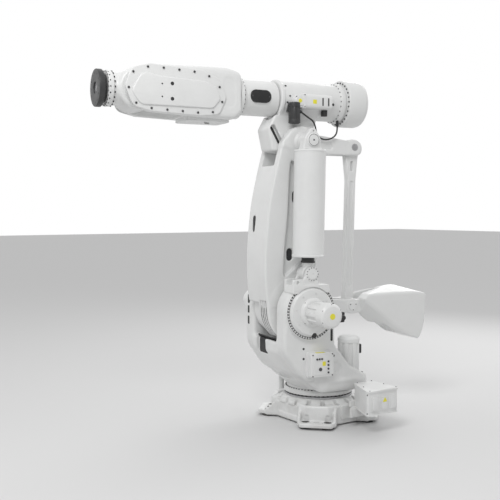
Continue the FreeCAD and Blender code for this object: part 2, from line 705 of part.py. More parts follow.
def counterweight():
    """The faceted block behind the crank, slotted where the rod swings."""
    end = SHOULDER_X - CRANK_LENGTH
    block_shape = side_plate(
        [
            (end - 105, SHOULDER_Z - 181, 10.0),
            (end - 305, SHOULDER_Z - 274, 10.0),
            (end - 580, SHOULDER_Z - 330, 20.0),
            (end - 757, SHOULDER_Z - 386, 30.0),
            (end - 902, SHOULDER_Z - 126, 60.0),
            (end - 845, SHOULDER_Z + 79, 40.0),
            (end - 490, SHOULDER_Z + 184, 60.0),
            (end - 138, SHOULDER_Z + 102, 20.0),
            (end - 90, SHOULDER_Z + 54, 8.0),
        ],
        -150.0,
        150.0,
    )
    side = []
    slot = block(CRANK_X - 345, CRANK_X + 400, ROD_Y - ROD_HALF_Y - 8, ROD_Y + ROD_HALF_Y + 8,
                 SHOULDER_Z - 486, SHOULDER_Z + 314)
    whole = block_shape.cut(slot)
    for y0, y1 in ((-160.0, ROD_Y - ROD_HALF_Y - 8), (ROD_Y + ROD_HALF_Y + 8, ROD_Y + 100)):
        fork = block(SHOULDER_X - CRANK_LENGTH - 120, SHOULDER_X - CRANK_LENGTH - 40, y0, y1,
                     SHOULDER_Z - CRANK_HALF_Z, SHOULDER_Z + CRANK_HALF_Z)
        fork.rotate(V(SHOULDER_X, 0, SHOULDER_Z), Y_DIR, -CRANK_DROP_DEG)
        side.append(fork)
    whole = whole.cut(side[0]).cut(side[1])
    return whole


def rod_pin():
    """The pin through the crank's fork and the rod's foot."""
    return drum_y(CRANK_X, CRANK_Z, ROD_PIN_R, -166.0, ROD_Y + 106)


def parallel_rod():
    """The parallel rod, flared at the top, with an eye at each end."""
    foot = drum_y(CRANK_X, CRANK_Z, 76.0, ROD_Y - ROD_HALF_Y, ROD_Y + ROD_HALF_Y)
    head = drum_y(LEVER_X, LEVER_Z, 80.0, ROD_Y - ROD_HALF_Y, ROD_Y + ROD_HALF_Y)
    beam = side_plate(
        [
            (CRANK_X - 66, CRANK_Z, 0.0),
            (CRANK_X + 66, CRANK_Z, 0.0),
            (CRANK_X + 58, CRANK_Z + 240, 60.0),
            (LEVER_X + 52, LEVER_Z - 300, 60.0),
            (LEVER_X + 76, LEVER_Z - 20, 0.0),
            (LEVER_X - 76, LEVER_Z - 20, 0.0),
            (LEVER_X - 52, LEVER_Z - 300, 60.0),
            (CRANK_X - 58, CRANK_Z + 240, 60.0),
        ],
        ROD_Y - ROD_HALF_Y + 6,
        ROD_Y + ROD_HALF_Y - 6,
    )
    whole = fused([foot, head, beam])
    window_cut = side_plate(
        [(LEVER_X - 16, LEVER_Z - 230, 14.0), (LEVER_X + 16, LEVER_Z - 230, 14.0),
         (LEVER_X + 16, LEVER_Z - 130, 14.0), (LEVER_X - 16, LEVER_Z - 130, 14.0)], -200, 200)
    whole = whole.cut(window_cut)
    whole = whole.cut(drum_y(CRANK_X, CRANK_Z, ROD_PIN_R + RUNNING, -200.0, 100.0))
    whole = whole.cut(drum_y(LEVER_X, LEVER_Z, ROD_PIN_R + 0.5, -200.0, 100.0))
    return whole


# ---------------------------------------------------------------- forearm house


def elbow_house():
    """The casting at the elbow: round body on the forearm's axis, strut, boss and lever."""
    barrel = drum_x(0, AXIS_Z, TUBE_R + 14, -190.0, TUBE_START - 6)
    chest = side_plate(
        [
            (ELBOW_X - 130, ELBOW_Z, 0.0),
            (ELBOW_X - 250, AXIS_Z - 90, 60.0),
            (ELBOW_X - 300, AXIS_Z, 0.0),
            (TUBE_START - 40, AXIS_Z, 0.0),
            (TUBE_START + 90, AXIS_Z - 160, 40.0),
            (ELBOW_X + 372, ELBOW_Z + 130, 40.0),
            (ELBOW_X + 276, ELBOW_Z - 84, 30.0),
            (ELBOW_X + 120, ELBOW_Z - 100, 30.0),
        ],
        -118.0,
        118.0,
    )
    boss = drum_y(ELBOW_X, ELBOW_Z, 128.0, -118.0, 118.0)
    lever = side_plate(
        [
            (ELBOW_X, ELBOW_Z + 110, 0.0),
            (ELBOW_X - 180, ELBOW_Z + 96, 60.0),
            (LEVER_X + 100, LEVER_Z + 66, 60.0),
            (LEVER_X - 90, LEVER_Z + 66, 60.0),
            (LEVER_X - 90, LEVER_Z - 80, 60.0),
            (LEVER_X + 100, LEVER_Z - 80, 60.0),
            (ELBOW_X - 100, ELBOW_Z - 100, 60.0),
            (ELBOW_X, ELBOW_Z - 100, 0.0),
        ],
        ROD_Y - 82,
        ROD_Y + 82,
    )
    whole = fused([barrel, chest, boss, lever])
    slot = block(LEVER_X - 300, LEVER_X + 260, ROD_Y - ROD_HALF_Y - 8, ROD_Y + ROD_HALF_Y + 8,
                 LEVER_Z - 300, LEVER_Z + 200)
    whole = whole.cut(slot)
    recess = side_plate(
        [(ELBOW_X + 190, ELBOW_Z - 40, 20.0), (ELBOW_X + 290, ELBOW_Z + 130, 20.0),
         (ELBOW_X + 250, ELBOW_Z + 160, 20.0), (ELBOW_X + 150, ELBOW_Z - 20, 20.0)], 70.0, 130.0)
    whole = whole.cut(recess)
    whole = whole.cut(drum_y(ELBOW_X, ELBOW_Z, PIN_R + RUNNING, -130.0, 130.0))
    whole = whole.cut(drum_x(0, AXIS_Z, TUBE_R + 14, TUBE_START - 6, TUBE_START + 200))
    pin = drum_y(LEVER_X, LEVER_Z, ROD_PIN_R, ROD_Y - 84, ROD_Y + 84)
    cable_end = gland(CABLE_ROUTE[-1], CABLE_ROUTE[-2], 90.0)
    return fused([whole, pin, cable_end])


def rear_drum():
    """The round drum behind the elbow house with its bolted ring."""
    ring = drum_x(0, AXIS_Z, 176.0, -212.0, -190.0)
    drum = drum_x(0, AXIS_Z, DRUM_R, -432.0, -212.0)
    heads = bolt_heads_x(AXIS_Z, 202.0, 20, 9.0, -212.0, -203.0)
    return fused([ring, drum] + heads)


def side_motor(x0, x1, y, z, r):
    """A finned motor that lies along the forearm."""
    body = drum_x(y, z, r - 8, x0, x1)
    cap = drum_x(y, z, r, x1 - 50, x1)
    flange = drum_x(y, z, r + 6, x0, x0 + 26)
    return fused([body, cap, flange])


def motor_pack():
    """The three motors beside the forearm house and the plates that hold them."""
    near = rounded_side_box(-8.0, 330.0, AXIS_Z - 96, AXIS_Z + 44, 120.0, 252.0, 24.0)
    flange = drum_y(345.0, AXIS_Z - 26, 62.0, 120.0, 236.0)
    return near.fuse(flange).removeSplitter()


def hanging_motor():
    """The dark upright motor in front of the near side."""
    body = drum_z(386.0, 196.0, 56.0, AXIS_Z - 236, AXIS_Z - 40)
    arm = block(340.0, 440.0, 110.0, 200.0, AXIS_Z - 120, AXIS_Z - 60)
    return fused([body, arm, gland(CABLE_ROUTE[0], CABLE_ROUTE[1], 45.0)])


def elbow_cable():
    """The cable that hangs in a loop from the upright motor back to the barrel's underside."""
    return cable_along(CABLE_ROUTE, CABLE_R)


def far_motor():
    """The motor on the far side of the forearm house."""
    far = side_motor(-8.0, 390.0, -196.0, AXIS_Z - 26, 62.0)
    return far.fuse(block(40.0, 200.0, -160.0, -120.0, AXIS_Z - 70, AXIS_Z + 20)).removeSplitter()


# ---------------------------------------------------------------- wrist


def wrist_tube():
    """The turning part of the forearm: a plain tube and the bolted ring at its end."""
    tube = drum_x(0, AXIS_Z, TUBE_R, TUBE_START, WRIST_START - 10)
    ring = drum_x(0, AXIS_Z, 200.0, WRIST_START - 60, WRIST_START - 20)
    heads = bolt_heads_x(AXIS_Z, 184.0, 24, 8.0, WRIST_START - 70, WRIST_START - 60)
    return fused([tube, ring] + heads)


def oval_cover(side):
    """An oval black cover on the side of the turning tube."""
    pts = []
    for x, z in ((610, -56), (820, -56), (820, 56), (610, 56)):
        pts.append((x, AXIS_Z + z, 54.0))
    plate = side_plate(pts, 120.0, TUBE_R + 8)
    plate = plate.cut(drum_x(0, AXIS_Z, TUBE_R - 2, 500.0, 950.0))
    if side < 0:
        plate = plate.mirror(V(0, 0, 0), Y_DIR)
    return plate


def wrist_housing():
    """The long wrist housing, forked at its front end."""
    core = cross_plate(
        [(-WRIST_HALF_Y, AXIS_Z - WRIST_HALF_Z, 70.0), (WRIST_HALF_Y, AXIS_Z - WRIST_HALF_Z, 70.0),
         (WRIST_HALF_Y, AXIS_Z + WRIST_HALF_Z, 90.0), (-WRIST_HALF_Y, AXIS_Z + WRIST_HALF_Z, 90.0)],
        WRIST_START - 20, WRIST_X + 150)
    side = side_plate(
        [(WRIST_START - 20, AXIS_Z - 150, 30.0), (WRIST_START + 60, AXIS_Z - WRIST_HALF_Z, 80.0),
         (WRIST_X, AXIS_Z - 200, 160.0), (WRIST_X + 150, AXIS_Z, 130.0),
         (WRIST_X, AXIS_Z + 200, 160.0), (WRIST_START + 120, AXIS_Z + WRIST_HALF_Z, 160.0),
         (WRIST_START - 20, AXIS_Z + 180, 60.0)], -WRIST_HALF_Y - 1, WRIST_HALF_Y + 1)
    whole = core.common(side)
    gap = block(WRIST_X - FORK_DEPTH, WRIST_X + 400, -FORK_HALF, FORK_HALF, AXIS_Z - 400, AXIS_Z + 400)
    whole = whole.cut(gap)
    whole = whole.cut(drum_y(WRIST_X, AXIS_Z, 70.0 + RUNNING, -WRIST_HALF_Y + 16, WRIST_HALF_Y - 16))
    return whole.removeSplitter()


def side_cover(side):
    """The raised cover on one side of the wrist, with its rim of bolts."""
    y0 = WRIST_HALF_Y
    pts = [(1160.0, AXIS_Z - 128, 60.0), (1250.0, AXIS_Z - 160, 60.0), (1800.0, AXIS_Z - 150, 120.0),
           (1960.0, AXIS_Z - 60, 60.0), (1960.0, AXIS_Z + 60, 60.0), (1800.0, AXIS_Z + 140, 120.0),
           (1250.0, AXIS_Z + 170, 60.0), (1160.0, AXIS_Z + 140, 60.0)]
    plate = side_plate(pts, y0, y0 + 22)
    if side < 0:
        plate = plate.mirror(V(0, 0, 0), Y_DIR)
    return plate


def under_cover():
    """The cover under the wrist housing."""
    return rounded_box(1010.0, WRIST_X - FORK_DEPTH - 10, -150.0, 150.0, AXIS_Z - WRIST_HALF_Z - 14,
                       AXIS_Z - WRIST_HALF_Z + 60, 30.0)


def tilt_unit():
    """The tilting wrist body between the fork's arms, with its pivots and gear nose."""
    core = drum_y(WRIST_X, AXIS_Z, 185.0, -160.0, 160.0)
    nose = drum_x(0, AXIS_Z, 140.0, WRIST_X, NOSE_END_X)
    pivots = drum_y(WRIST_X, AXIS_Z, 70.0, -WRIST_HALF_Y + 20, WRIST_HALF_Y - 20)
    ring = drum_x(0, AXIS_Z, 152.0, NOSE_END_X - 51, NOSE_END_X)
    return fused([core, nose, pivots, ring])


def turning_disc():
    """The black tool flange."""
    disc = drum_x(0, AXIS_Z, FLANGE_R, FLANGE_X - 48, FLANGE_X)
    back = drum_x(0, AXIS_Z, 120.0, NOSE_END_X + SEAT, FLANGE_X - 48)
    whole = fused([disc, back])
    holes = bolt_heads_x(AXIS_Z, FLANGE_PCD / 2, FLANGE_HOLES, FLANGE_HOLE_R, FLANGE_X - 30, FLANGE_X + 5)
    for hole in holes:
        whole = whole.cut(hole)
    return whole.cut(drum_x(0, AXIS_Z, 50.0, FLANGE_X - 12, FLANGE_X + 5))


# ---------------------------------------------------------------- export


def base_parts():
    """Everything that stands still."""
    parts = {"base_casting": base_casting()}
    n = 1
    for sx, sy in ((1, 1), (-1, 1), (-1, -1), (1, -1)):
        parts["levelling_pads_%d" % n] = levelling_pads(sx, sy)
        n += 1
    parts["slewing_ring"] = slewing_ring()
    parts["connection_box"] = connection_box()
    parts["stop_lug"] = stop_lug()
    return parts


def arm_parts():
    """Everything above the slewing ring, drawn in the arm's own plane."""
    return {
        "turret_table": turret_table(),
        "turret_frame": turret_frame(),
        "gear_unit_2": gear_unit(1),
        "gear_unit_3": gear_unit(-1),
        "motor_2": shoulder_motor(1),
        "motor_3": shoulder_motor(-1),
        "motor_1": axis1_motor(),
        "brake_release_box": brake_box(),
        "stop_post": stop_post(),
        "spring_bracket": spring_bracket(),
        "lower_arm_casting": lower_arm_casting(),
        "spring_top_pin": spring_top_pin(),
        "elbow_pin": elbow_pin(),
        "spring_cylinder": spring_cylinder(),
        "spring_rod": spring_rod(),
        "parallel_arm": parallel_arm(),
        "counterweight": counterweight(),
        "rod_pin": rod_pin(),
        "parallel_rod": parallel_rod(),
        "elbow_house": elbow_house(),
        "rear_drum": rear_drum(),
        "motor_4": motor_pack(),
        "motor_5": hanging_motor(),
        "motor_6": far_motor(),
        "elbow_cable": elbow_cable(),
        "wrist_tube": wrist_tube(),
        "oval_cover_near": oval_cover(1),
        "oval_cover_far": oval_cover(-1),
        "wrist_housing": wrist_housing(),
        "side_cover_near": side_cover(1),
        "side_cover_far": side_cover(-1),
        "under_cover": under_cover(),
        "tilt_unit": tilt_unit(),
        "turning_disc": turning_disc(),
    }


def seat(parts, node, *others):
    """Cuts the others' room out of a node, so that they meet face to face."""
    for other in others:
        parts[node] = parts[node].cut(parts[other])


def fit_base(parts):
    """Makes the base's pieces meet without overlapping."""
    seat(parts, "stop_lug", "base_casting")
    seat(parts, "connection_box", "base_casting")
    for n in (1, 2, 3, 4):
        seat(parts, "levelling_pads_%d" % n, "base_casting")


def fit_arm(parts):
    """Makes neighbours on one moving body meet without overlapping."""
    seat(parts, "turret_frame", "turret_table", "gear_unit_2", "gear_unit_3")
    seat(parts, "motor_1", "turret_frame")
    seat(parts, "stop_post", "turret_frame", "turret_table")
    seat(parts, "spring_bracket", "turret_frame", "gear_unit_2")
    seat(parts, "brake_release_box", "turret_frame", "gear_unit_2")
    seat(parts, "motor_4", "elbow_house")
    seat(parts, "motor_5", "elbow_house", "motor_4")
    seat(parts, "motor_6", "elbow_house")
    seat(parts, "oval_cover_near", "wrist_tube")
    seat(parts, "oval_cover_far", "wrist_tube")
    seat(parts, "wrist_tube", "wrist_housing")
    seat(parts, "under_cover", "wrist_housing")


def write_all():
    os.makedirs("parts", exist_ok=True)
    parts = base_parts()
    fit_base(parts)
    arm = arm_parts()
    fit_arm(arm)
    for name, shape in arm.items():
        shape.rotate(V(0, 0, 0), Z_DIR, TURRET_TURN_DEG)
        parts[name] = shape
    for name, shape in parts.items():
        solids = shape.Solids
        if not shape.isValid() or len(solids) != 1:
            print("look at", name, shape.isValid(), len(solids))
        if len(solids) == 1:
            shape = solids[0]
        shape.exportStep("parts/" + name + ".step")
    print(len(parts), "nodes")


write_all()
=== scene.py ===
"""A large six-axis robot arm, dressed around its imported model.

Lengths in the classes are millimetres. The base is drawn in the row's own axes. Everything above the
slewing ring is drawn in the arm's plane (X forward, Y to the side of the axis 2 motor, Z up) and then
turned about the upright axis by Arm.turn_deg.

Castings are distance fields: a function of x, y, z that is negative inside, so that ribs, bosses and
pockets flow into each other with cast fillets. Turned, plated and bolted pieces are grids of rows and
columns worked out from a profile.
"""

import logging
import math
from dataclasses import dataclass, field
from enum import Enum
from typing import Callable, List, Optional, Sequence, Tuple

import bpy
import numpy as np
from mathutils import Matrix, Vector


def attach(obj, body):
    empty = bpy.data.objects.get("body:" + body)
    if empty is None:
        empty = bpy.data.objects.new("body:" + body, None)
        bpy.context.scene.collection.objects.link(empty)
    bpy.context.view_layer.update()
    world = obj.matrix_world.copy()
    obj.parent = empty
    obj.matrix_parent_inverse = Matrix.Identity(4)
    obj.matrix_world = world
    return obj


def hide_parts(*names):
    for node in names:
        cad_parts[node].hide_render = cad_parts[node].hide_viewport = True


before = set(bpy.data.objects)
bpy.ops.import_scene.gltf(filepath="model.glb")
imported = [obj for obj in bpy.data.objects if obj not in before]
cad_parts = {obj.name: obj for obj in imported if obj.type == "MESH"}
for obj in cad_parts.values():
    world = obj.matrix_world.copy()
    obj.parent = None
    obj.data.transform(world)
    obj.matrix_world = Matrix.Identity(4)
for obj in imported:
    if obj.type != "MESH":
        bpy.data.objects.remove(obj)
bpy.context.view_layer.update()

log = logging.getLogger("robot_arm")
Array = np.ndarray
Field = Callable[[Array, Array, Array], Array]
Corner = Tuple[float, float, float]


# ------------------------------------------------------------------ where things are


@dataclass(frozen=True)
class Arm:
    """The main centres of the arm in its own plane."""

    turn_deg: float = 82.0
    shoulder_x: float = 335.0
    shoulder_z: float = 1086.0
    lower_length: float = 1566.0
    lean_deg: float = 0.9
    crank_length: float = 685.0
    drop_deg: float = 1.5
    forearm_rise: float = 400.0
    elbow_to_wrist: float = 1552.0
    wrist_to_flange: float = 348.0
    spring_y: float = 362.0
    spring_eye: float = 348.0
    rod_y: float = -30.0
    rod_half_y: float = 42.0

    @property
    def elbow_x(self) -> float:
        """X of the elbow pin."""
        return self.shoulder_x - self.lower_length * math.sin(math.radians(self.lean_deg))

    @property
    def elbow_z(self) -> float:
        """Z of the elbow pin."""
        return self.shoulder_z + self.lower_length * math.cos(math.radians(self.lean_deg))

    @property
    def crank_back(self) -> float:
        """How far behind its hinge the crank's end lies."""
        return self.crank_length * math.cos(math.radians(self.drop_deg))

    @property
    def crank_down(self) -> float:
        """How far under its hinge the crank's end lies."""
        return self.crank_length * math.sin(math.radians(self.drop_deg))

    @property
    def spring_lean_deg(self) -> float:
        """How far the balancing cylinder leans back from upright."""
        return math.degrees(math.atan2(self.shoulder_x - self.elbow_x,
                                       self.lower_length - self.spring_eye))

    @property
    def axis_z(self) -> float:
        """Height of the forearm's own axis."""
        return self.elbow_z + self.forearm_rise

    @property
    def wrist_x(self) -> float:
        """X of the wrist's tilting axis."""
        return self.elbow_x + self.elbow_to_wrist

    @property
    def flange_x(self) -> float:
        """X of the tool flange's face."""
        return self.wrist_x + self.wrist_to_flange


ARM = Arm()


class Side(Enum):
    """The two sides of the arm's plane."""

    NEAR = 1
    FAR = -1


class Space(Enum):
    """Which axes a piece is drawn in."""

    BASE = "base"
    ARM = "arm"


class Along(Enum):
    """The direction that a drum or a plate's thickness runs along, as an axis number."""

    X = 0
    Y = 1
    Z = 2


def to_row(points: Array, space: Space) -> Array:
    """Turns points in millimetres into row coordinates in metres.

    Args:
        points: rows of x, y, z.
        space: the axes that they are drawn in.

    Returns:
        The same rows in metres: x cos a - y sin a, x sin a + y cos a, z for the arm's plane.
    """
    p = np.asarray(points, dtype=np.float64).reshape(-1, 3) / 1000.0
    if space is Space.BASE:
        return p
    a = math.radians(ARM.turn_deg)
    turn = np.array([[math.cos(a), -math.sin(a), 0.0], [math.sin(a), math.cos(a), 0.0],
                     [0.0, 0.0, 1.0]])
    return p @ turn.T


# ------------------------------------------------------------------ outlines


def outline(corners: Sequence[Corner], steps: int = 7) -> Array:
    """Rounds the corners of a closed flat outline.

    Each corner becomes an arc of its own radius r, tangent to both sides. With h half the corner's
    angle, the arc starts r / tan h from the corner and its centre is r / sin h along the bisector.

    Args:
        corners: (a, b, radius) for each corner, in order.
        steps: points on each arc.

    Returns:
        Rows of a, b along the rounded outline.
    """
    c = np.array(corners, dtype=float)
    at, r = c[:, :2], c[:, 2:3]
    before = np.roll(at, 1, axis=0) - at
    after = np.roll(at, -1, axis=0) - at
    before /= np.linalg.norm(before, axis=1, keepdims=True)
    after /= np.linalg.norm(after, axis=1, keepdims=True)
    half = 0.5 * np.arccos(np.clip((before * after).sum(1, keepdims=True), -1.0, 1.0))
    r = np.where(half > 1.5607, 0.0, r)
    bisector = before + after
    length = np.linalg.norm(bisector, axis=1, keepdims=True)
    bisector = bisector / np.maximum(length, 1e-9)
    centre = at + bisector * r / np.sin(half)
    start = at + before * r / np.tan(half) - centre
    end = at + after * r / np.tan(half) - centre
    first = np.arctan2(start[:, 1], start[:, 0])
    turn = np.arctan2(end[:, 1], end[:, 0]) - first
    turn = (turn + np.pi) % (2 * np.pi) - np.pi
    angle = first[:, None] + turn[:, None] * np.linspace(0.0, 1.0, steps)
    arc = centre[:, None, :] + r[:, :, None] * np.stack([np.cos(angle), np.sin(angle)], axis=2)
    flat = arc.reshape(-1, 2)
    apart = np.linalg.norm(flat - np.roll(flat, 1, axis=0), axis=1) > 1e-4
    return flat[apart]


def oblong(a0: float, a1: float, b0: float, b1: float, r: float) -> Array:
    """A rectangle with four equally rounded corners, from its first to its last corner."""
    return outline([(a0, b0, r), (a1, b0, r), (a1, b1, r), (a0, b1, r)])


def curve_through(points: Sequence[Tuple[float, float]], steps: int = 8) -> Array:
    """A smooth open curve through points.

    Between neighbours p1 and p2 it is the cubic whose slopes at both ends are half the step from the
    point before to the point after: p = 0.5 (2 p1 + (p2 - p0) t + (2 p0 - 5 p1 + 4 p2 - p3) t^2
    + (3 p1 - p0 - 3 p2 + p3) t^3).

    Args:
        points: the (a, b) places it passes through.
        steps: points on each stretch.

    Returns:
        Rows of a, b.
    """
    p = np.array(points, dtype=float)
    p = np.vstack([2 * p[0] - p[1], p, 2 * p[-1] - p[-2]])
    p0, p1, p2, p3 = (p[i:len(p) - 3 + i, None, :] for i in range(4))
    t = np.linspace(0.0, 1.0, steps, endpoint=False)[None, :, None]
    curve = 0.5 * (2 * p1 + (p2 - p0) * t + (2 * p0 - 5 * p1 + 4 * p2 - p3) * t ** 2
                   + (3 * p1 - p0 - 3 * p2 + p3) * t ** 3)
    return np.vstack([curve.reshape(-1, 2), p[-2]])


# ------------------------------------------------------------------ distance fields for castings


def flat_distance(a: Array, b: Array, loop: Array) -> Array:
    """Signed distance in a plane from (a, b) to a closed outline, negative inside.

    The distance is the least over the sides of |w - e clip(w.e / e.e, 0, 1)|, and its sign changes
    with each side that a ray crosses.
    """
    a, b = np.broadcast_arrays(np.asarray(a, np.float32), np.asarray(b, np.float32))
    least = np.full(a.shape, 1e12, np.float32)
    inside = np.zeros(a.shape, bool)
    for (pa, pb), (qa, qb) in zip(loop, np.roll(loop, 1, axis=0)):
        ea, eb = qa - pa, qb - pb
        wa, wb = a - pa, b - pb
        t = np.clip((wa * ea + wb * eb) / (ea * ea + eb * eb), 0.0, 1.0)
        least = np.minimum(least, (wa - ea * t) ** 2 + (wb - eb * t) ** 2)
        above = b >= pb
        crossed = ea * wb > eb * wa
        inside ^= (above & (b < qb) & crossed) | (~above & (b >= qb) & ~crossed)
    return np.where(inside, -1.0, 1.0).astype(np.float32) * np.sqrt(least)


def thick(flat: Array, t: Array, lo: float, hi: float, edge: float) -> Array:
    """Gives a flat distance a thickness from lo to hi, with rounded edges.

    With u = flat + e and v = |t - middle| - half + e, the distance is
    min(max(u, v), 0) + |(max(u, 0), max(v, 0))| - e.
    """
    u = flat + edge
    v = np.abs(t - 0.5 * (lo + hi)) - 0.5 * (hi - lo) + edge
    return np.minimum(np.maximum(u, v), 0.0) + np.hypot(np.maximum(u, 0.0), np.maximum(v, 0.0)) - edge


def slab(along: Along, loop: Array, lo: float, hi: float, edge: float = 12.0) -> Field:
    """A plate with rounded edges.

    Args:
        along: the direction of its thickness.
        loop: its closed outline in the other two axes, in X, Y, Z order.
        lo: where its thickness starts.
        hi: where it ends.
        edge: the radius of its edges.

    Returns:
        Its distance field.
    """
    def distance(*p: Array) -> Array:
        """Distance to the plate."""
        a, b = (p[i] for i in range(3) if i != along.value)
        return thick(flat_distance(a, b, loop), p[along.value], lo, hi, edge)
    return distance


def drum(along: Along, a: float, b: float, r: float, lo: float, hi: float, edge: float = 10.0) -> Field:
    """A round drum with rounded edges, its axis at (a, b) in the other two axes."""
    def distance(*p: Array) -> Array:
        """Distance to the drum: |(a, b)| - r, given a thickness."""
        u, v = (p[i] for i in range(3) if i != along.value)
        return thick(np.hypot(u - a, v - b) - r, p[along.value], lo, hi, edge)
    return distance


def taper(along: Along, a: float, b: float, ends: Sequence[Tuple[float, float]],
          edge: float = 8.0) -> Field:
    """A cone-like drum between two (place, radius) ends."""
    (t0, r0), (t1, r1) = ends
    slope = (r1 - r0) / (t1 - t0)

    def distance(*p: Array) -> Array:
        """Distance to the cone: (|(a, b)| - r0 - slope (t - t0)) / sqrt(1 + slope^2)."""
        u, v = (p[i] for i in range(3) if i != along.value)
        t = p[along.value]
        flat = (np.hypot(u - a, v - b) - r0 - slope * (t - t0)) / math.hypot(1.0, slope)
        return thick(flat, t, min(t0, t1), max(t0, t1), edge)
    return distance


def bar(start: Sequence[float], end: Sequence[float], r: float) -> Field:
    """A round bar with ball ends: |w - e clip(w.e / e.e, 0, 1)| - r."""
    p = np.array(start, float)
    e = np.array(end, float) - p

    def distance(x: Array, y: Array, z: Array) -> Array:
        """Distance to the bar."""
        w = (x - p[0], y - p[1], z - p[2])
        t = np.clip((w[0] * e[0] + w[1] * e[1] + w[2] * e[2]) / e.dot(e), 0.0, 1.0)
        return np.sqrt(sum((w[i] - e[i] * t) ** 2 for i in range(3))) - r
    return distance


def smooth_least(a: Array, b: Array, k: float) -> Array:
    """min(a, b) less h^2 k / 4 with h = max(k - |a - b|, 0) / k, which rounds the inner corner."""
    if k <= 0.0:
        return np.minimum(a, b)
    h = np.maximum(k - np.abs(a - b), 0.0) / k
    return np.minimum(a, b) - h * h * (k * 0.25)


def joined(k: float, *parts: Field) -> Field:
    """Parts cast together, with fillets about k wide between them."""
    def distance(x: Array, y: Array, z: Array) -> Array:
        """Distance to the joined parts."""
        d = parts[0](x, y, z)
        for part in parts[1:]:
            d = smooth_least(d, part(x, y, z), k)
        return d
    return distance


def cut(k: float, whole: Field, *tools: Field) -> Field:
    """A casting less some tools, with the cut's rim rounded over about k."""
    def distance(x: Array, y: Array, z: Array) -> Array:
        """Distance to what is left."""
        d = whole(x, y, z)
        for tool in tools:
            d = -smooth_least(-d, tool(x, y, z), k)
        return d
    return distance


def common(k: float, *parts: Field) -> Field:
    """What several parts share, with its edges rounded over about k."""
    def distance(x: Array, y: Array, z: Array) -> Array:
        """Distance to the common part."""
        d = parts[0](x, y, z)
        for part in parts[1:]:
            d = -smooth_least(-d, -part(x, y, z), k)
        return d
    return distance


def tipped(part: Field, x0: float, z0: float, deg: float) -> Field:
    """A part turned about an axis along Y, its top towards +X for a positive angle."""
    c, s = math.cos(math.radians(deg)), math.sin(math.radians(deg))

    def distance(x: Array, y: Array, z: Array) -> Array:
        """The part's distance at the point turned back."""
        u, w = x - x0, z - z0
        return part(x0 + u * c - w * s, y, z0 + u * s + w * c)
    return distance


def swivelled(part: Field, deg: float) -> Field:
    """A part turned about the upright axis."""
    c, s = math.cos(math.radians(deg)), math.sin(math.radians(deg))

    def distance(x: Array, y: Array, z: Array) -> Array:
        """The part's distance at the point turned back."""
        return part(x * c + y * s, y * c - x * s, z)
    return distance


def both_sides(part: Field) -> Field:
    """A part and its mirror image across the arm's plane."""
    return lambda x, y, z: part(x, np.abs(y), z)


# ------------------------------------------------------------------ meshes


@dataclass
class Shape:
    """Vertices and faces, where each entry of faces is an array with one face a row."""

    verts: Array
    faces: List[Array]

    def moved(self, shift: Sequence[float]) -> "Shape":
        """The same shape somewhere else."""
        return Shape(self.verts + np.asarray(shift, float), self.faces)

    def tipped(self, x0: float, z0: float, deg: float) -> "Shape":
        """The same shape turned about an axis along Y, its top towards +X."""
        c, s = math.cos(math.radians(deg)), math.sin(math.radians(deg))
        u, w = self.verts[:, 0] - x0, self.verts[:, 2] - z0
        turned_to = np.stack([x0 + u * c + w * s, self.verts[:, 1], z0 + w * c - u * s], axis=1)
        return Shape(turned_to, self.faces)

    def mirrored(self) -> "Shape":
        """The same shape on the other side of the arm's plane, still facing outwards."""
        return Shape(self.verts * [1.0, -1.0, 1.0], [f[:, ::-1] for f in self.faces])


def together(shapes: Sequence[Shape]) -> Shape:
    """Several shapes as one."""
    verts = np.vstack([s.verts for s in shapes])
    faces: List[Array] = []
    start = 0
    for s in shapes:
        faces += [f + start for f in s.faces]
        start += len(s.verts)
    return Shape(verts, faces)


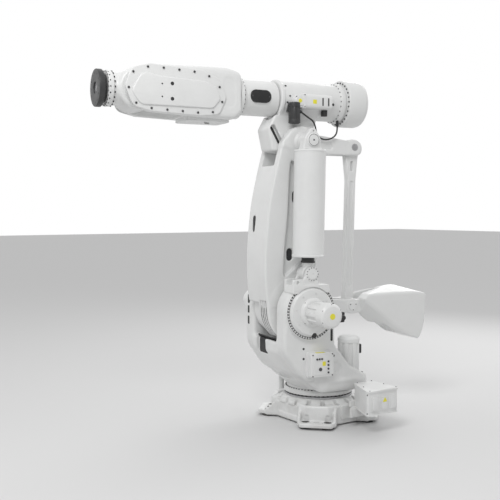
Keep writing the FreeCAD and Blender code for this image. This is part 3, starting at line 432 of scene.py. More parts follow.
def skin(part: Field, low: Sequence[float], high: Sequence[float], step: float,
         polish: int = 2) -> Shape:
    """The surface where a distance field is nought.

    The field is worked out on a grid. Each cell that the surface crosses gets one vertex, the mean of
    the places where the field changes sign along the cell's edges, a = f0 / (f0 - f1), and each crossed
    grid edge gets the quad of its four cells. The vertices are then moved onto the surface by
    p - f g / |g|^2, where g is the field's slope.

    Args:
        part: the distance field.
        low: the lowest corner of the room that holds it.
        high: the highest corner.
        step: the grid's spacing.
        polish: how many times the vertices are moved onto the surface.

    Returns:
        A closed shape of quads that face outwards.
    """
    axes = [np.arange(a - 1.6 * step, b + 2.6 * step, step) for a, b in zip(low, high)]
    x, y, z = (v.astype(np.float32) for v in axes)
    f = part(x[:, None, None], y[None, :, None], z[None, None, :])
    f = np.ascontiguousarray(np.broadcast_to(f, (len(x), len(y), len(z))), dtype=np.float32)
    cells = tuple(n - 1 for n in f.shape)
    total = np.zeros((3,) + cells, np.float32)
    count = np.zeros(cells, np.float32)
    crossings = []
    for axis in range(3):
        others = [i for i in range(3) if i != axis]
        g = np.moveaxis(f, axis, 0)
        crossed = (g[:-1] < 0) != (g[1:] < 0)
        share = np.where(crossed, g[:-1] / np.where(crossed, g[:-1] - g[1:], 1.0), 0.0)
        crossings.append((crossed, g[:-1] < 0))
        sums = np.moveaxis(total, axis + 1, 1)
        counts = np.moveaxis(count, axis, 0)
        for da in (0, 1):
            for db in (0, 1):
                window = (slice(None), slice(da, da + cells[others[0]]),
                          slice(db, db + cells[others[1]]))
                hit = crossed[window]
                sums[axis] += share[window]
                sums[others[0]] += hit * np.float32(da)
                sums[others[1]] += hit * np.float32(db)
                counts += hit
    where = np.argwhere(count > 0)
    number = np.full(cells, -1, np.int64)
    number[tuple(where.T)] = np.arange(len(where))
    offset = (total / np.maximum(count, 1))[(slice(None),) + tuple(where.T)].T
    origin = np.array([x[0], y[0], z[0]], float)
    verts = origin + (where + offset) * step
    quads = []
    for axis, (crossed, low_inside) in enumerate(crossings):
        n = np.moveaxis(number, axis, 0)
        inner = crossed[:, 1:-1, 1:-1]
        quad = np.stack([n[:, :-1, :-1][inner], n[:, 1:, :-1][inner], n[:, 1:, 1:][inner],
                         n[:, :-1, 1:][inner]], axis=1)
        forward = low_inside[:, 1:-1, 1:-1][inner]
        if axis == 1:
            forward = ~forward
        quads.append(np.where(forward[:, None], quad, quad[:, ::-1]))
    for _ in range(polish):
        px, py, pz = verts.T
        d = part(px, py, pz)
        h = 0.25 * step
        slope = np.stack([part(px + h, py, pz) - part(px - h, py, pz),
                          part(px, py + h, pz) - part(px, py - h, pz),
                          part(px, py, pz + h) - part(px, py, pz - h)], axis=1) / (2 * h)
        steep = np.maximum((slope ** 2).sum(1), 0.2)
        move = np.clip(d / steep, -0.5 * step, 0.5 * step)
        verts = verts - slope * move[:, None]
    return Shape(verts, [np.vstack(quads)])


def grid_faces(rows: int, columns: int, loop_rows: bool = False) -> Array:
    """Quads between the rows of a grid whose columns close on themselves."""
    i = np.arange(rows if loop_rows else rows - 1)[:, None]
    j = np.arange(columns)[None, :]
    k = (j + 1) % columns
    n = (i + 1) % rows
    return np.stack([i * columns + j, i * columns + k, n * columns + k, n * columns + j],
                    axis=2).reshape(-1, 4)


def turned(along: Along, a: float, b: float, corners: Sequence[Corner], columns: int = 72,
           bore: bool = False) -> Shape:
    """A turned piece: its profile carried round an axis, (t, r cos u, r sin u).

    Args:
        along: the direction of its axis.
        a: where the axis is in the first of the other two directions.
        b: where it is in the second.
        corners: (t, radius, edge radius) along its profile, from one end to the other. With a bore
            the profile is closed and runs outside first, then back along the bore.
        columns: how many steps go round.
        bore: whether it is open through the middle.

    Returns:
        The closed shape.
    """
    if bore:
        profile = outline(corners, 5)
    else:
        closed = [(corners[0][0], 0.0, 0.0)] + list(corners) + [(corners[-1][0], 0.0, 0.0)]
        profile = outline(closed, 5)
        profile = profile[profile[:, 1] > 1e-6]
    u = np.linspace(0.0, 2 * np.pi, columns, endpoint=False)
    t = np.repeat(profile[:, 0], columns)
    r = profile[:, 1]
    ring = np.stack([np.outer(r, np.cos(u)).ravel() + a, np.outer(r, np.sin(u)).ravel() + b], axis=1)
    verts = np.insert(ring, along.value, t, axis=1)
    faces = [grid_faces(len(profile), columns, bore)]
    if not bore:
        first = np.arange(columns)[None, ::-1]
        last = (len(profile) - 1) * columns + np.arange(columns)[None, :]
        faces += [first, last]
    ahead = corners[-1][0] > corners[0][0]
    flip = ahead != (along is Along.Y)
    if bore:
        area = np.sum(profile[:, 0] * np.roll(profile[:, 1], -1) - np.roll(profile[:, 0],
                                                                           -1) * profile[:, 1])
        flip = (area < 0) != (along is Along.Y)
    if flip:
        faces = [f[:, ::-1] for f in faces]
    return Shape(verts, faces)


def plate(along: Along, loop: Array, lo: float, hi: float, edge: float = 4.0) -> Shape:
    """A flat plate whose outer edge at hi is rounded.

    The outline is carried up in rows and moved in along its own normals n by e (1 - cos u) while it
    rises e sin u, and a flat face closes each end.

    Args:
        along: the direction of its thickness.
        loop: its closed outline in the other two axes.
        lo: where the thickness starts, the hidden side.
        hi: where it ends, which may be less than lo.
        edge: the radius of the rounded edge.

    Returns:
        The closed shape.
    """
    area = np.sum(loop[:, 0] * np.roll(loop[:, 1], -1) - np.roll(loop[:, 0], -1) * loop[:, 1])
    if area < 0:
        loop = loop[::-1]
    d = np.roll(loop, -1, axis=0) - np.roll(loop, 1, axis=0)
    normal = np.stack([d[:, 1], -d[:, 0]],
                      axis=1) / np.maximum(np.linalg.norm(d, axis=1, keepdims=True), 1e-9)
    sign = 1.0 if hi > lo else -1.0
    u = np.linspace(0.0, np.pi / 2, 5)
    inset = np.concatenate([[0.0], edge * (1.0 - np.cos(u))])
    height = np.concatenate([[lo], hi - sign * edge + sign * edge * np.sin(u)])
    flat = loop[None, :, :] - normal[None, :, :] * inset[:, None, None]
    n = len(loop)
    verts = np.insert(flat.reshape(-1, 2), along.value, np.repeat(height, n), axis=1)
    faces = [grid_faces(len(inset), n), np.arange(n)[None, ::-1],
             (len(inset) - 1) * n + np.arange(n)[None, :]]
    if (sign < 0) != (along is Along.Y):
        faces = [f[:, ::-1] for f in faces]
    return Shape(verts, faces)


def bolt_heads(centres: Array, along: Along, r: float, height: float, sign: float = 1.0,
               columns: int = 10) -> Shape:
    """Socket-head screws: a small turned profile copied to each centre.

    Args:
        centres: rows of x, y, z on the face that the heads stand on.
        along: the direction they stand out in.
        r: the head's radius.
        height: how far it stands out.
        sign: 1 to stand out towards plus, -1 towards minus.
        columns: how many steps go round.

    Returns:
        All the heads as one shape.
    """
    t = np.array([-0.15, 0.8, 1.0, 1.0, 0.45]) * height * sign
    radius = np.array([1.0, 1.0, 0.86, 0.5, 0.46]) * r
    u = np.linspace(0.0, 2 * np.pi, columns, endpoint=False)
    ring = np.stack([np.outer(radius, np.cos(u)).ravel(), np.outer(radius, np.sin(u)).ravel()], axis=1)
    one = np.insert(ring, along.value, np.repeat(t, columns), axis=1)
    centres = np.asarray(centres, float).reshape(-1, 3)
    verts = (centres[:, None, :] + one[None, :, :]).reshape(-1, 3)
    quads = grid_faces(len(t), columns)
    cap = (len(t) - 1) * columns + np.arange(columns)[None, :]
    foot = np.arange(columns)[None, ::-1]
    start = np.arange(len(centres))[:, None, None] * len(one)
    faces = [(f[None] + start).reshape(-1, f.shape[1]) for f in (quads, cap, foot)]
    if (sign < 0) != (along is Along.Y):
        faces = [f[:, ::-1] for f in faces]
    return Shape(verts, faces)


def ring_places(along: Along, a: float, b: float, r: float, t: float, count: int,
                first_deg: float = 0.0, last_deg: float = 360.0) -> Array:
    """Centres spaced evenly round a circle, or over part of it."""
    u = np.radians(np.linspace(first_deg, last_deg, count, endpoint=last_deg - first_deg < 359.0))
    flat = np.stack([a + r * np.cos(u), b + r * np.sin(u)], axis=1)
    return np.insert(flat, along.value, t, axis=1)


def outline_places(along: Along, loop: Array, t: float, count: int) -> Array:
    """Centres spaced evenly along a closed outline."""
    closed = np.vstack([loop, loop[:1]])
    run = np.concatenate([[0.0], np.cumsum(np.linalg.norm(np.diff(closed, axis=0), axis=1))])
    at = np.linspace(0.0, run[-1], count, endpoint=False)
    flat = np.stack([np.interp(at, run, closed[:, i]) for i in (0, 1)], axis=1)
    return np.insert(flat, along.value, t, axis=1)


def shrunk(loop: Array, inset: float) -> Array:
    """A rounded outline moved in along its own normals."""
    area = np.sum(loop[:, 0] * np.roll(loop[:, 1], -1) - np.roll(loop[:, 0], -1) * loop[:, 1])
    d = np.roll(loop, -1, axis=0) - np.roll(loop, 1, axis=0)
    normal = np.stack([d[:, 1], -d[:, 0]],
                      axis=1) / np.maximum(np.linalg.norm(d, axis=1, keepdims=True), 1e-9)
    return loop - normal * inset * np.sign(area)


def finned(along: Along, a: float, b: float, r: float, depth: float, lo: float, hi: float,
           fins: int) -> Shape:
    """A motor's finned case.

    The radius at (u, t) is r - depth (0.5 - 0.5 tanh(6 cos(fins u))) under the fins, and runs out to
    r - depth at both ends.
    """
    columns = fins * 10
    u = np.linspace(0.0, 2 * np.pi, columns, endpoint=False)
    wave = 0.5 + 0.5 * np.tanh(6.0 * np.cos(fins * u))
    t = np.array([lo, lo + 0.6 * depth, lo + 1.2 * depth, hi - 1.2 * depth, hi - 0.6 * depth, hi])
    rise = np.array([0.0, 0.7, 1.0, 1.0, 0.7, 0.0])
    radius = r - depth + depth * rise[:, None] * wave[None, :]
    ring = np.stack([(radius * np.cos(u)).ravel() + a, (radius * np.sin(u)).ravel() + b], axis=1)
    verts = np.insert(ring, along.value, np.repeat(t, columns), axis=1)
    faces = [grid_faces(len(t), columns), np.arange(columns)[None, ::-1],
             (len(t) - 1) * columns + np.arange(columns)[None, :]]
    if along is Along.Y:
        faces = [f[:, ::-1] for f in faces]
    return Shape(verts, faces)


def tube_along(route: Sequence[Sequence[float]], r: float, columns: int = 12, steps: int = 6) -> Shape:
    """A short fixed pipe: a circle carried along a smooth curve, c + r (n cos u + m sin u)."""
    p = np.array(route, float)
    flat = [curve_through(p[:, [0, i]], steps) for i in (1, 2)]
    path = np.column_stack([flat[0], flat[1][:, 1]])
    along = np.gradient(path, axis=0)
    along /= np.linalg.norm(along, axis=1, keepdims=True)
    helper = np.array([0.3, 0.9, 0.31])
    n = np.cross(along, helper)
    n /= np.linalg.norm(n, axis=1, keepdims=True)
    m = np.cross(along, n)
    u = np.linspace(0.0, 2 * np.pi, columns, endpoint=False)
    verts = (path[:, None, :] + r * (n[:, None, :] * np.cos(u)[None, :, None]
                                     + m[:, None, :] * np.sin(u)[None, :, None])).reshape(-1, 3)
    count = len(path)
    faces = [grid_faces(count, columns), np.arange(columns)[None, ::-1],
             (count - 1) * columns + np.arange(columns)[None, :]]
    return Shape(verts, faces)


# ------------------------------------------------------------------ finishes


def new_group(name: str, ins: Sequence[Tuple[str, str, float]],
              outs: Sequence[Tuple[str, str]]) -> bpy.types.NodeTree:
    """An empty shader node group with named sockets.

    Args:
        name: the group's name.
        ins: (name, socket type, default) for each input.
        outs: (name, socket type) for each output.

    Returns:
        The group.
    """
    group = bpy.data.node_groups.new(name, "ShaderNodeTree")
    for label, kind, default in ins:
        socket = group.interface.new_socket(name=label, in_out="INPUT", socket_type=kind)
        if kind == "NodeSocketFloat":
            socket.default_value = default
    for label, kind in outs:
        group.interface.new_socket(name=label, in_out="OUTPUT", socket_type=kind)
    return group


class Wiring:
    """Adds and joins nodes in one node tree."""

    def __init__(self, tree: bpy.types.NodeTree) -> None:
        """Keeps the tree that nodes are added to."""
        self.tree = tree

    def add(self, kind: str, settings: Optional[dict] = None, **values) -> bpy.types.Node:
        """Adds a node.

        Args:
            kind: its type.
            settings: attributes to set on it.
            values: inputs by name, with _ for a space: a number, a tuple or a socket to join.

        Returns:
            The node.
        """
        node = self.tree.nodes.new(kind)
        for key, value in (settings or {}).items():
            setattr(node, key, value)
        for key, value in values.items():
            self.feed(node.inputs[key.replace("_", " ")], value)
        return node

    def feed(self, socket: bpy.types.NodeSocket, value) -> None:
        """Joins a socket to another, or sets its value."""
        if isinstance(value, bpy.types.NodeSocket):
            self.tree.links.new(value, socket)
        else:
            socket.default_value = value

    def sum(self, operation: str, a, b, clamp: bool = False) -> bpy.types.NodeSocket:
        """The result of a Math node on two values or sockets."""
        node = self.add("ShaderNodeMath", {"operation": operation, "use_clamp": clamp})
        self.feed(node.inputs[0], a)
        self.feed(node.inputs[1], b)
        return node.outputs[0]

    def ramp(self, value: bpy.types.NodeSocket, low: float, high: float, to_low: float,
             to_high: float) -> bpy.types.NodeSocket:
        """Carries a value from one range to another, held at its ends."""
        node = self.add("ShaderNodeMapRange", {"clamp": True}, Value=value, From_Min=low, From_Max=high,
                        To_Min=to_low, To_Max=to_high)
        return node.outputs["Result"]

    def blend(self, share, a, b) -> bpy.types.NodeSocket:
        """A colour mixed from a to b."""
        node = self.add("ShaderNodeMix", {"data_type": "RGBA"})
        self.feed(node.inputs[0], share)
        self.feed(node.inputs[6], a)
        self.feed(node.inputs[7], b)
        return node.outputs[2]


def enamel_group() -> bpy.types.NodeTree:
    """Sprayed enamel: fine orange peel, the casting's slow waviness under it and its shifts of tone.

    Height = peel (n1 - 0.5) + wave (n2 - 0.5), with n1 a fine and n2 a broad noise on Object
    coordinates, and Tone is a broad noise between 0 and 1.
    """
    group = new_group("sprayed_enamel",
                      [("Peel Scale", "NodeSocketFloat", 260.0), ("Peel", "NodeSocketFloat", 0.25),
                       ("Wave", "NodeSocketFloat", 1.0)],
                      [("Height", "NodeSocketFloat"), ("Tone", "NodeSocketFloat")])
    w = Wiring(group)
    given = w.add("NodeGroupInput")
    place = w.add("ShaderNodeTexCoord").outputs["Object"]
    peel = w.add("ShaderNodeTexNoise", Vector=place, Scale=given.outputs["Peel Scale"], Detail=2.0)
    wave = w.add("ShaderNodeTexNoise", Vector=place, Scale=9.0, Detail=2.0)
    tone = w.add("ShaderNodeTexNoise", Vector=place, Scale=2.3, Detail=4.0, Roughness=0.6)
    fine = w.sum("MULTIPLY", w.sum("SUBTRACT", peel.outputs["Fac"], 0.5), given.outputs["Peel"])
    slow = w.sum("MULTIPLY", w.sum("SUBTRACT", wave.outputs["Fac"], 0.5), given.outputs["Wave"])
    out = w.add("NodeGroupOutput")
    w.feed(out.inputs["Height"], w.sum("ADD", fine, slow))
    w.feed(out.inputs["Tone"], w.ramp(tone.outputs["Fac"], 0.3, 0.7, 0.0, 1.0))
    return group


def grime_group() -> bpy.types.NodeTree:
    """Workshop grime: a thin film that gathers in clouds, thicker near the floor, with small specks.

    Film = clouds * (near the floor, fading out at Reach) + Everywhere * clouds, and Specks picks the
    darkest cells of a fine noise.
    """
    group = new_group("workshop_grime",
                      [("Reach", "NodeSocketFloat", 0.5), ("Everywhere", "NodeSocketFloat", 0.2)],
                      [("Film", "NodeSocketFloat"), ("Specks", "NodeSocketFloat")])
    w = Wiring(group)
    given = w.add("NodeGroupInput")
    place = w.add("ShaderNodeTexCoord").outputs["Object"]
    clouds = w.add("ShaderNodeTexNoise", Vector=place, Scale=5.0, Detail=6.0, Roughness=0.65)
    specks = w.add("ShaderNodeTexNoise", Vector=place, Scale=150.0, Detail=2.0)
    height = w.add("ShaderNodeSeparateXYZ", Vector=place).outputs["Z"]
    low = w.add("ShaderNodeMapRange", {"clamp": True}, Value=height, From_Min=0.0,
                From_Max=given.outputs["Reach"], To_Min=1.0, To_Max=0.0).outputs["Result"]
    cloud = w.ramp(clouds.outputs["Fac"], 0.42, 0.68, 0.0, 1.0)
    share = w.sum("ADD", low, given.outputs["Everywhere"], clamp=True)
    out = w.add("NodeGroupOutput")
    w.feed(out.inputs["Film"], w.sum("MULTIPLY", cloud, share))
    w.feed(out.inputs["Specks"], w.ramp(specks.outputs["Fac"], 0.69, 0.73, 0.0, 1.0))
    return group


def turning_group() -> bpy.types.NodeTree:
    """Machined metal: fine turning lines and the uneven sheen that they leave."""
    group = new_group("turning_lines", [("Line Scale", "NodeSocketFloat", 900.0)],
                      [("Height", "NodeSocketFloat"), ("Sheen", "NodeSocketFloat")])
    w = Wiring(group)
    given = w.add("NodeGroupInput")
    place = w.add("ShaderNodeTexCoord").outputs["Object"]
    lines = w.add("ShaderNodeTexNoise", {"noise_dimensions": "3D"}, Vector=place,
                  Scale=given.outputs["Line Scale"], Detail=2.0)
    sheen = w.add("ShaderNodeTexNoise", Vector=place, Scale=30.0, Detail=4.0)
    out = w.add("NodeGroupOutput")
    w.feed(out.inputs["Height"], lines.outputs["Fac"])
    w.feed(out.inputs["Sheen"], sheen.outputs["Fac"])
    return group


@dataclass(frozen=True)
class Enamel:
    """A sprayed paint finish."""

    name: str
    colour: Tuple[float, float, float]
    shade: Tuple[float, float, float]
    roughness: float = 0.38
    coat: float = 0.25
    peel: float = 0.25
    grime: float = 0.25
    reach: float = 0.55

    def build(self) -> bpy.types.Material:
        """The material: enamel under a thin clear coat, with a film of grime."""
        mat = bpy.data.materials.new(self.name)
        mat.use_nodes = True
        w = Wiring(mat.node_tree)
        shader = mat.node_tree.nodes["Principled BSDF"]
        skin_of = w.add("ShaderNodeGroup", {"node_tree": bpy.data.node_groups["sprayed_enamel"]})
        skin_of.inputs["Peel"].default_value = self.peel
        grime = w.add("ShaderNodeGroup", {"node_tree": bpy.data.node_groups["workshop_grime"]})
        grime.inputs["Reach"].default_value = self.reach
        grime.inputs["Everywhere"].default_value = 0.18
        body = w.blend(w.sum("MULTIPLY", skin_of.outputs["Tone"], 0.5), (*self.colour, 1.0),
                       (*self.shade, 1.0))
        film = w.sum("MULTIPLY", grime.outputs["Film"], self.grime)
        dirty = w.blend(film, body, (0.30, 0.285, 0.26, 1.0))
        specked = w.blend(w.sum("MULTIPLY", grime.outputs["Specks"], 0.35 * self.grime), dirty,
                          (0.12, 0.11, 0.10, 1.0))
        w.feed(shader.inputs["Base Color"], specked)
        rough = w.sum("ADD", w.sum("MULTIPLY", film, 0.5), self.roughness)
        rough = w.sum("ADD", rough, w.sum("MULTIPLY", skin_of.outputs["Tone"], 0.05), clamp=True)
        w.feed(shader.inputs["Roughness"], rough)
        bump = w.add("ShaderNodeBump", Height=skin_of.outputs["Height"], Strength=0.35, Distance=0.0015)
        w.feed(shader.inputs["Normal"], bump.outputs["Normal"])
        shader.inputs["Coat Weight"].default_value = self.coat
        shader.inputs["Coat Roughness"].default_value = 0.16
        return mat


@dataclass(frozen=True)
class Moulded:
    """Moulded plastic or rubber with a fine texture."""

    name: str
    colour: Tuple[float, float, float]
    roughness: float = 0.5
    texture: float = 0.4
    scale: float = 420.0
    dust: float = 0.15

    def build(self) -> bpy.types.Material:
        """The material: grained plastic with a little dust in its clouds."""
        mat = bpy.data.materials.new(self.name)
        mat.use_nodes = True
        w = Wiring(mat.node_tree)
        shader = mat.node_tree.nodes["Principled BSDF"]
        grain = w.add("ShaderNodeGroup", {"node_tree": bpy.data.node_groups["sprayed_enamel"]})
        grain.inputs["Peel Scale"].default_value = self.scale
        grain.inputs["Peel"].default_value = self.texture
        grain.inputs["Wave"].default_value = 0.2
        grime = w.add("ShaderNodeGroup", {"node_tree": bpy.data.node_groups["workshop_grime"]})
        grime.inputs["Everywhere"].default_value = 0.5
        dusty = w.blend(w.sum("MULTIPLY", grime.outputs["Film"], self.dust), (*self.colour, 1.0),
                        (0.32, 0.31, 0.29, 1.0))
        w.feed(shader.inputs["Base Color"], dusty)
        rough = w.sum("ADD", w.sum("MULTIPLY", grain.outputs["Tone"], 0.15), self.roughness - 0.07)
        w.feed(shader.inputs["Roughness"], rough)
        bump = w.add("ShaderNodeBump", Height=grain.outputs["Height"], Strength=0.5, Distance=0.0008)
        w.feed(shader.inputs["Normal"], bump.outputs["Normal"])
        return mat


@dataclass(frozen=True)
class Machined:
    """Bare or plated metal."""

    name: str
    colour: Tuple[float, float, float]
    roughness: float = 0.34
    lines: float = 700.0

    def build(self) -> bpy.types.Material:
        """The material: metal with fine lines and an uneven sheen."""
        mat = bpy.data.materials.new(self.name)
        mat.use_nodes = True
        w = Wiring(mat.node_tree)
        shader = mat.node_tree.nodes["Principled BSDF"]
        lines = w.add("ShaderNodeGroup", {"node_tree": bpy.data.node_groups["turning_lines"]})
        lines.inputs["Line Scale"].default_value = self.lines
        dark = tuple(0.72 * c for c in self.colour)
        w.feed(shader.inputs["Base Color"], w.blend(lines.outputs["Sheen"], (*self.colour, 1.0),
                                                    (*dark, 1.0)))
        w.feed(shader.inputs["Roughness"], w.ramp(lines.outputs["Sheen"], 0.3, 0.7,
                                                  self.roughness - 0.08, self.roughness + 0.1))
        bump = w.add("ShaderNodeBump", Height=lines.outputs["Height"], Strength=0.2, Distance=0.0004)
        w.feed(shader.inputs["Normal"], bump.outputs["Normal"])
        shader.inputs["Metallic"].default_value = 1.0
        return mat


class Finish(Enum):
    """The finishes and the record's material slot that each belongs to."""

    WHITE = "white_paint"
    GREY = "dark_grey_paint"
    BLACK = "black_plastic"
    STEEL = "steel"
    SCREW = "screw"
    RUBBER = "rubber"
    YELLOW = "yellow_patch"
    # Near-black, used mostly as painted shade: flat plates and discs put in holes, slots, grooves and
    # gaps where shade falls.
    SHADOW = "dark_recess"
    BUTTON = "button"


class Paints:
    """All the materials, built once."""

    def __init__(self) -> None:
        """Builds the shared node groups and then each finish."""
        enamel_group()
        grime_group()
        turning_group()
        self.of = {
            Finish.WHITE: Enamel("white_enamel", (0.77, 0.775, 0.77), (0.72, 0.727, 0.723)).build(),
            Finish.GREY: Enamel("dark_grey_enamel", (0.026, 0.027, 0.029), (0.04, 0.041, 0.043), 0.42,
                                0.1, 0.4, 0.4).build(),
            Finish.BLACK: Moulded("black_moulding", (0.018, 0.018, 0.019), 0.38).build(),
            Finish.STEEL: Machined("machined_steel", (0.56, 0.56, 0.57)).build(),
            Finish.SCREW: Machined("blackened_screw", (0.16, 0.16, 0.165), 0.42).build(),
            Finish.RUBBER: Moulded("cable_rubber", (0.022, 0.022, 0.023), 0.55, 0.6, 700.0).build(),
            Finish.YELLOW: Enamel("yellow_patch", (0.80, 0.74, 0.05), (0.76, 0.70, 0.06), 0.5, 0.0,
                                  0.1, 0.2).build(),
            # Near-black enamel, used mostly as painted shade in holes, slots, grooves and gaps; it also
            # colours the tilting unit's dark screws and the wrist covers' small plugs.
            Finish.SHADOW: Enamel("dark_recess", (0.022, 0.022, 0.024), (0.035, 0.035, 0.037), 0.6, 0.0,
                                  0.5, 0.3).build(),
            Finish.BUTTON: Moulded("button_moulding", (0.05, 0.05, 0.055), 0.4).build(),
        }


class Shop:
    """Makes shapes into dressed pieces that ride on their bodies."""

    def __init__(self, paints: Paints) -> None:
        """Keeps the materials."""
        self.paints = paints

    def piece(self, name: str, shape: Shape, finish: Finish, body: str, space: Space = Space.ARM,
              stands_for: Sequence[str] = (), sharp_deg: Optional[float] = 32.0) -> bpy.types.Object:
        """Makes one object.

        Args:
            name: its name.
            shape: its vertices and faces, in millimetres.
            finish: what it is made of.
            body: the CAD body that it moves with.
            space: the axes it is drawn in.
            stands_for: the CAD nodes that it replaces.
            sharp_deg: edges sharper than this stay crisp, or None to smooth them all.

        Returns:
            The object.
        """
        mesh = bpy.data.meshes.new(name)
        mesh.vertices.add(len(shape.verts))
        mesh.vertices.foreach_set("co", to_row(shape.verts, space).astype(np.float32).ravel())
        sizes = np.concatenate([np.full(len(f), f.shape[1], np.int32) for f in shape.faces])
        loops = np.concatenate([f.ravel() for f in shape.faces]).astype(np.int32)
        mesh.loops.add(len(loops))
        mesh.loops.foreach_set("vertex_index", loops)
        mesh.polygons.add(len(sizes))
        starts = np.concatenate([[0], np.cumsum(sizes)[:-1]]).astype(np.int32)
        mesh.polygons.foreach_set("loop_start", starts)
        mesh.update(calc_edges=True)
        mesh.validate()
        mesh.polygons.foreach_set("use_smooth", np.ones(len(mesh.polygons), bool))
        if sharp_deg is not None:
            mesh.set_sharp_from_angle(angle=math.radians(sharp_deg))
        mesh.materials.append(self.paints.of[finish])
        obj = bpy.data.objects.new(name, mesh)
        bpy.context.scene.collection.objects.link(obj)
        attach(obj, body)
        if stands_for:
            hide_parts(*stands_for)
        log.info("%s: %d faces on %s", name, len(mesh.polygons), body)
        return obj

    def cast(self, name: str, part: Field, low: Sequence[float], high: Sequence[float], body: str,
             stands_for: Sequence[str] = (), step: float = 8.0, space: Space = Space.ARM,
             finish: Finish = Finish.WHITE) -> bpy.types.Object:
        """Makes a casting from its distance field, with all its edges smooth."""
        return self.piece(name, skin(part, low, high, step), finish, body, space, stands_for, None)

    def keep(self, node: str, finish: Finish) -> None:
        """Gives a CAD node that stays its finish."""
        for i in range(len(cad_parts[node].material_slots)):
            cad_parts[node].material_slots[i].material = self.paints.of[finish]


def half_space(point: Sequence[float], normal: Sequence[float]) -> Field:
    """Everything on the side of a plane that its normal points to, as a cutting tool."""
    n = np.array(normal, float)
    n /= np.linalg.norm(n)

    def distance(x: Array, y: Array, z: Array) -> Array:
        """Distance to the half space: -(p - point).n."""
        return -((x - point[0]) * n[0] + (y - point[1]) * n[1] + (z - point[2]) * n[2])
    return distance


def spoked(part: Field, count: int) -> Field:
    """A part repeated evenly round the upright axis: its angle is folded into one sector."""
    sector = 2 * math.pi / count

    def distance(x: Array, y: Array, z: Array) -> Array:
        """The part's distance at the folded point."""
        r = np.hypot(x, y)
        a = (np.arctan2(y, x) + sector / 2) % sector - sector / 2
        return part(r * np.cos(a), r * np.sin(a), z)
    return distance


# ------------------------------------------------------------------ the base


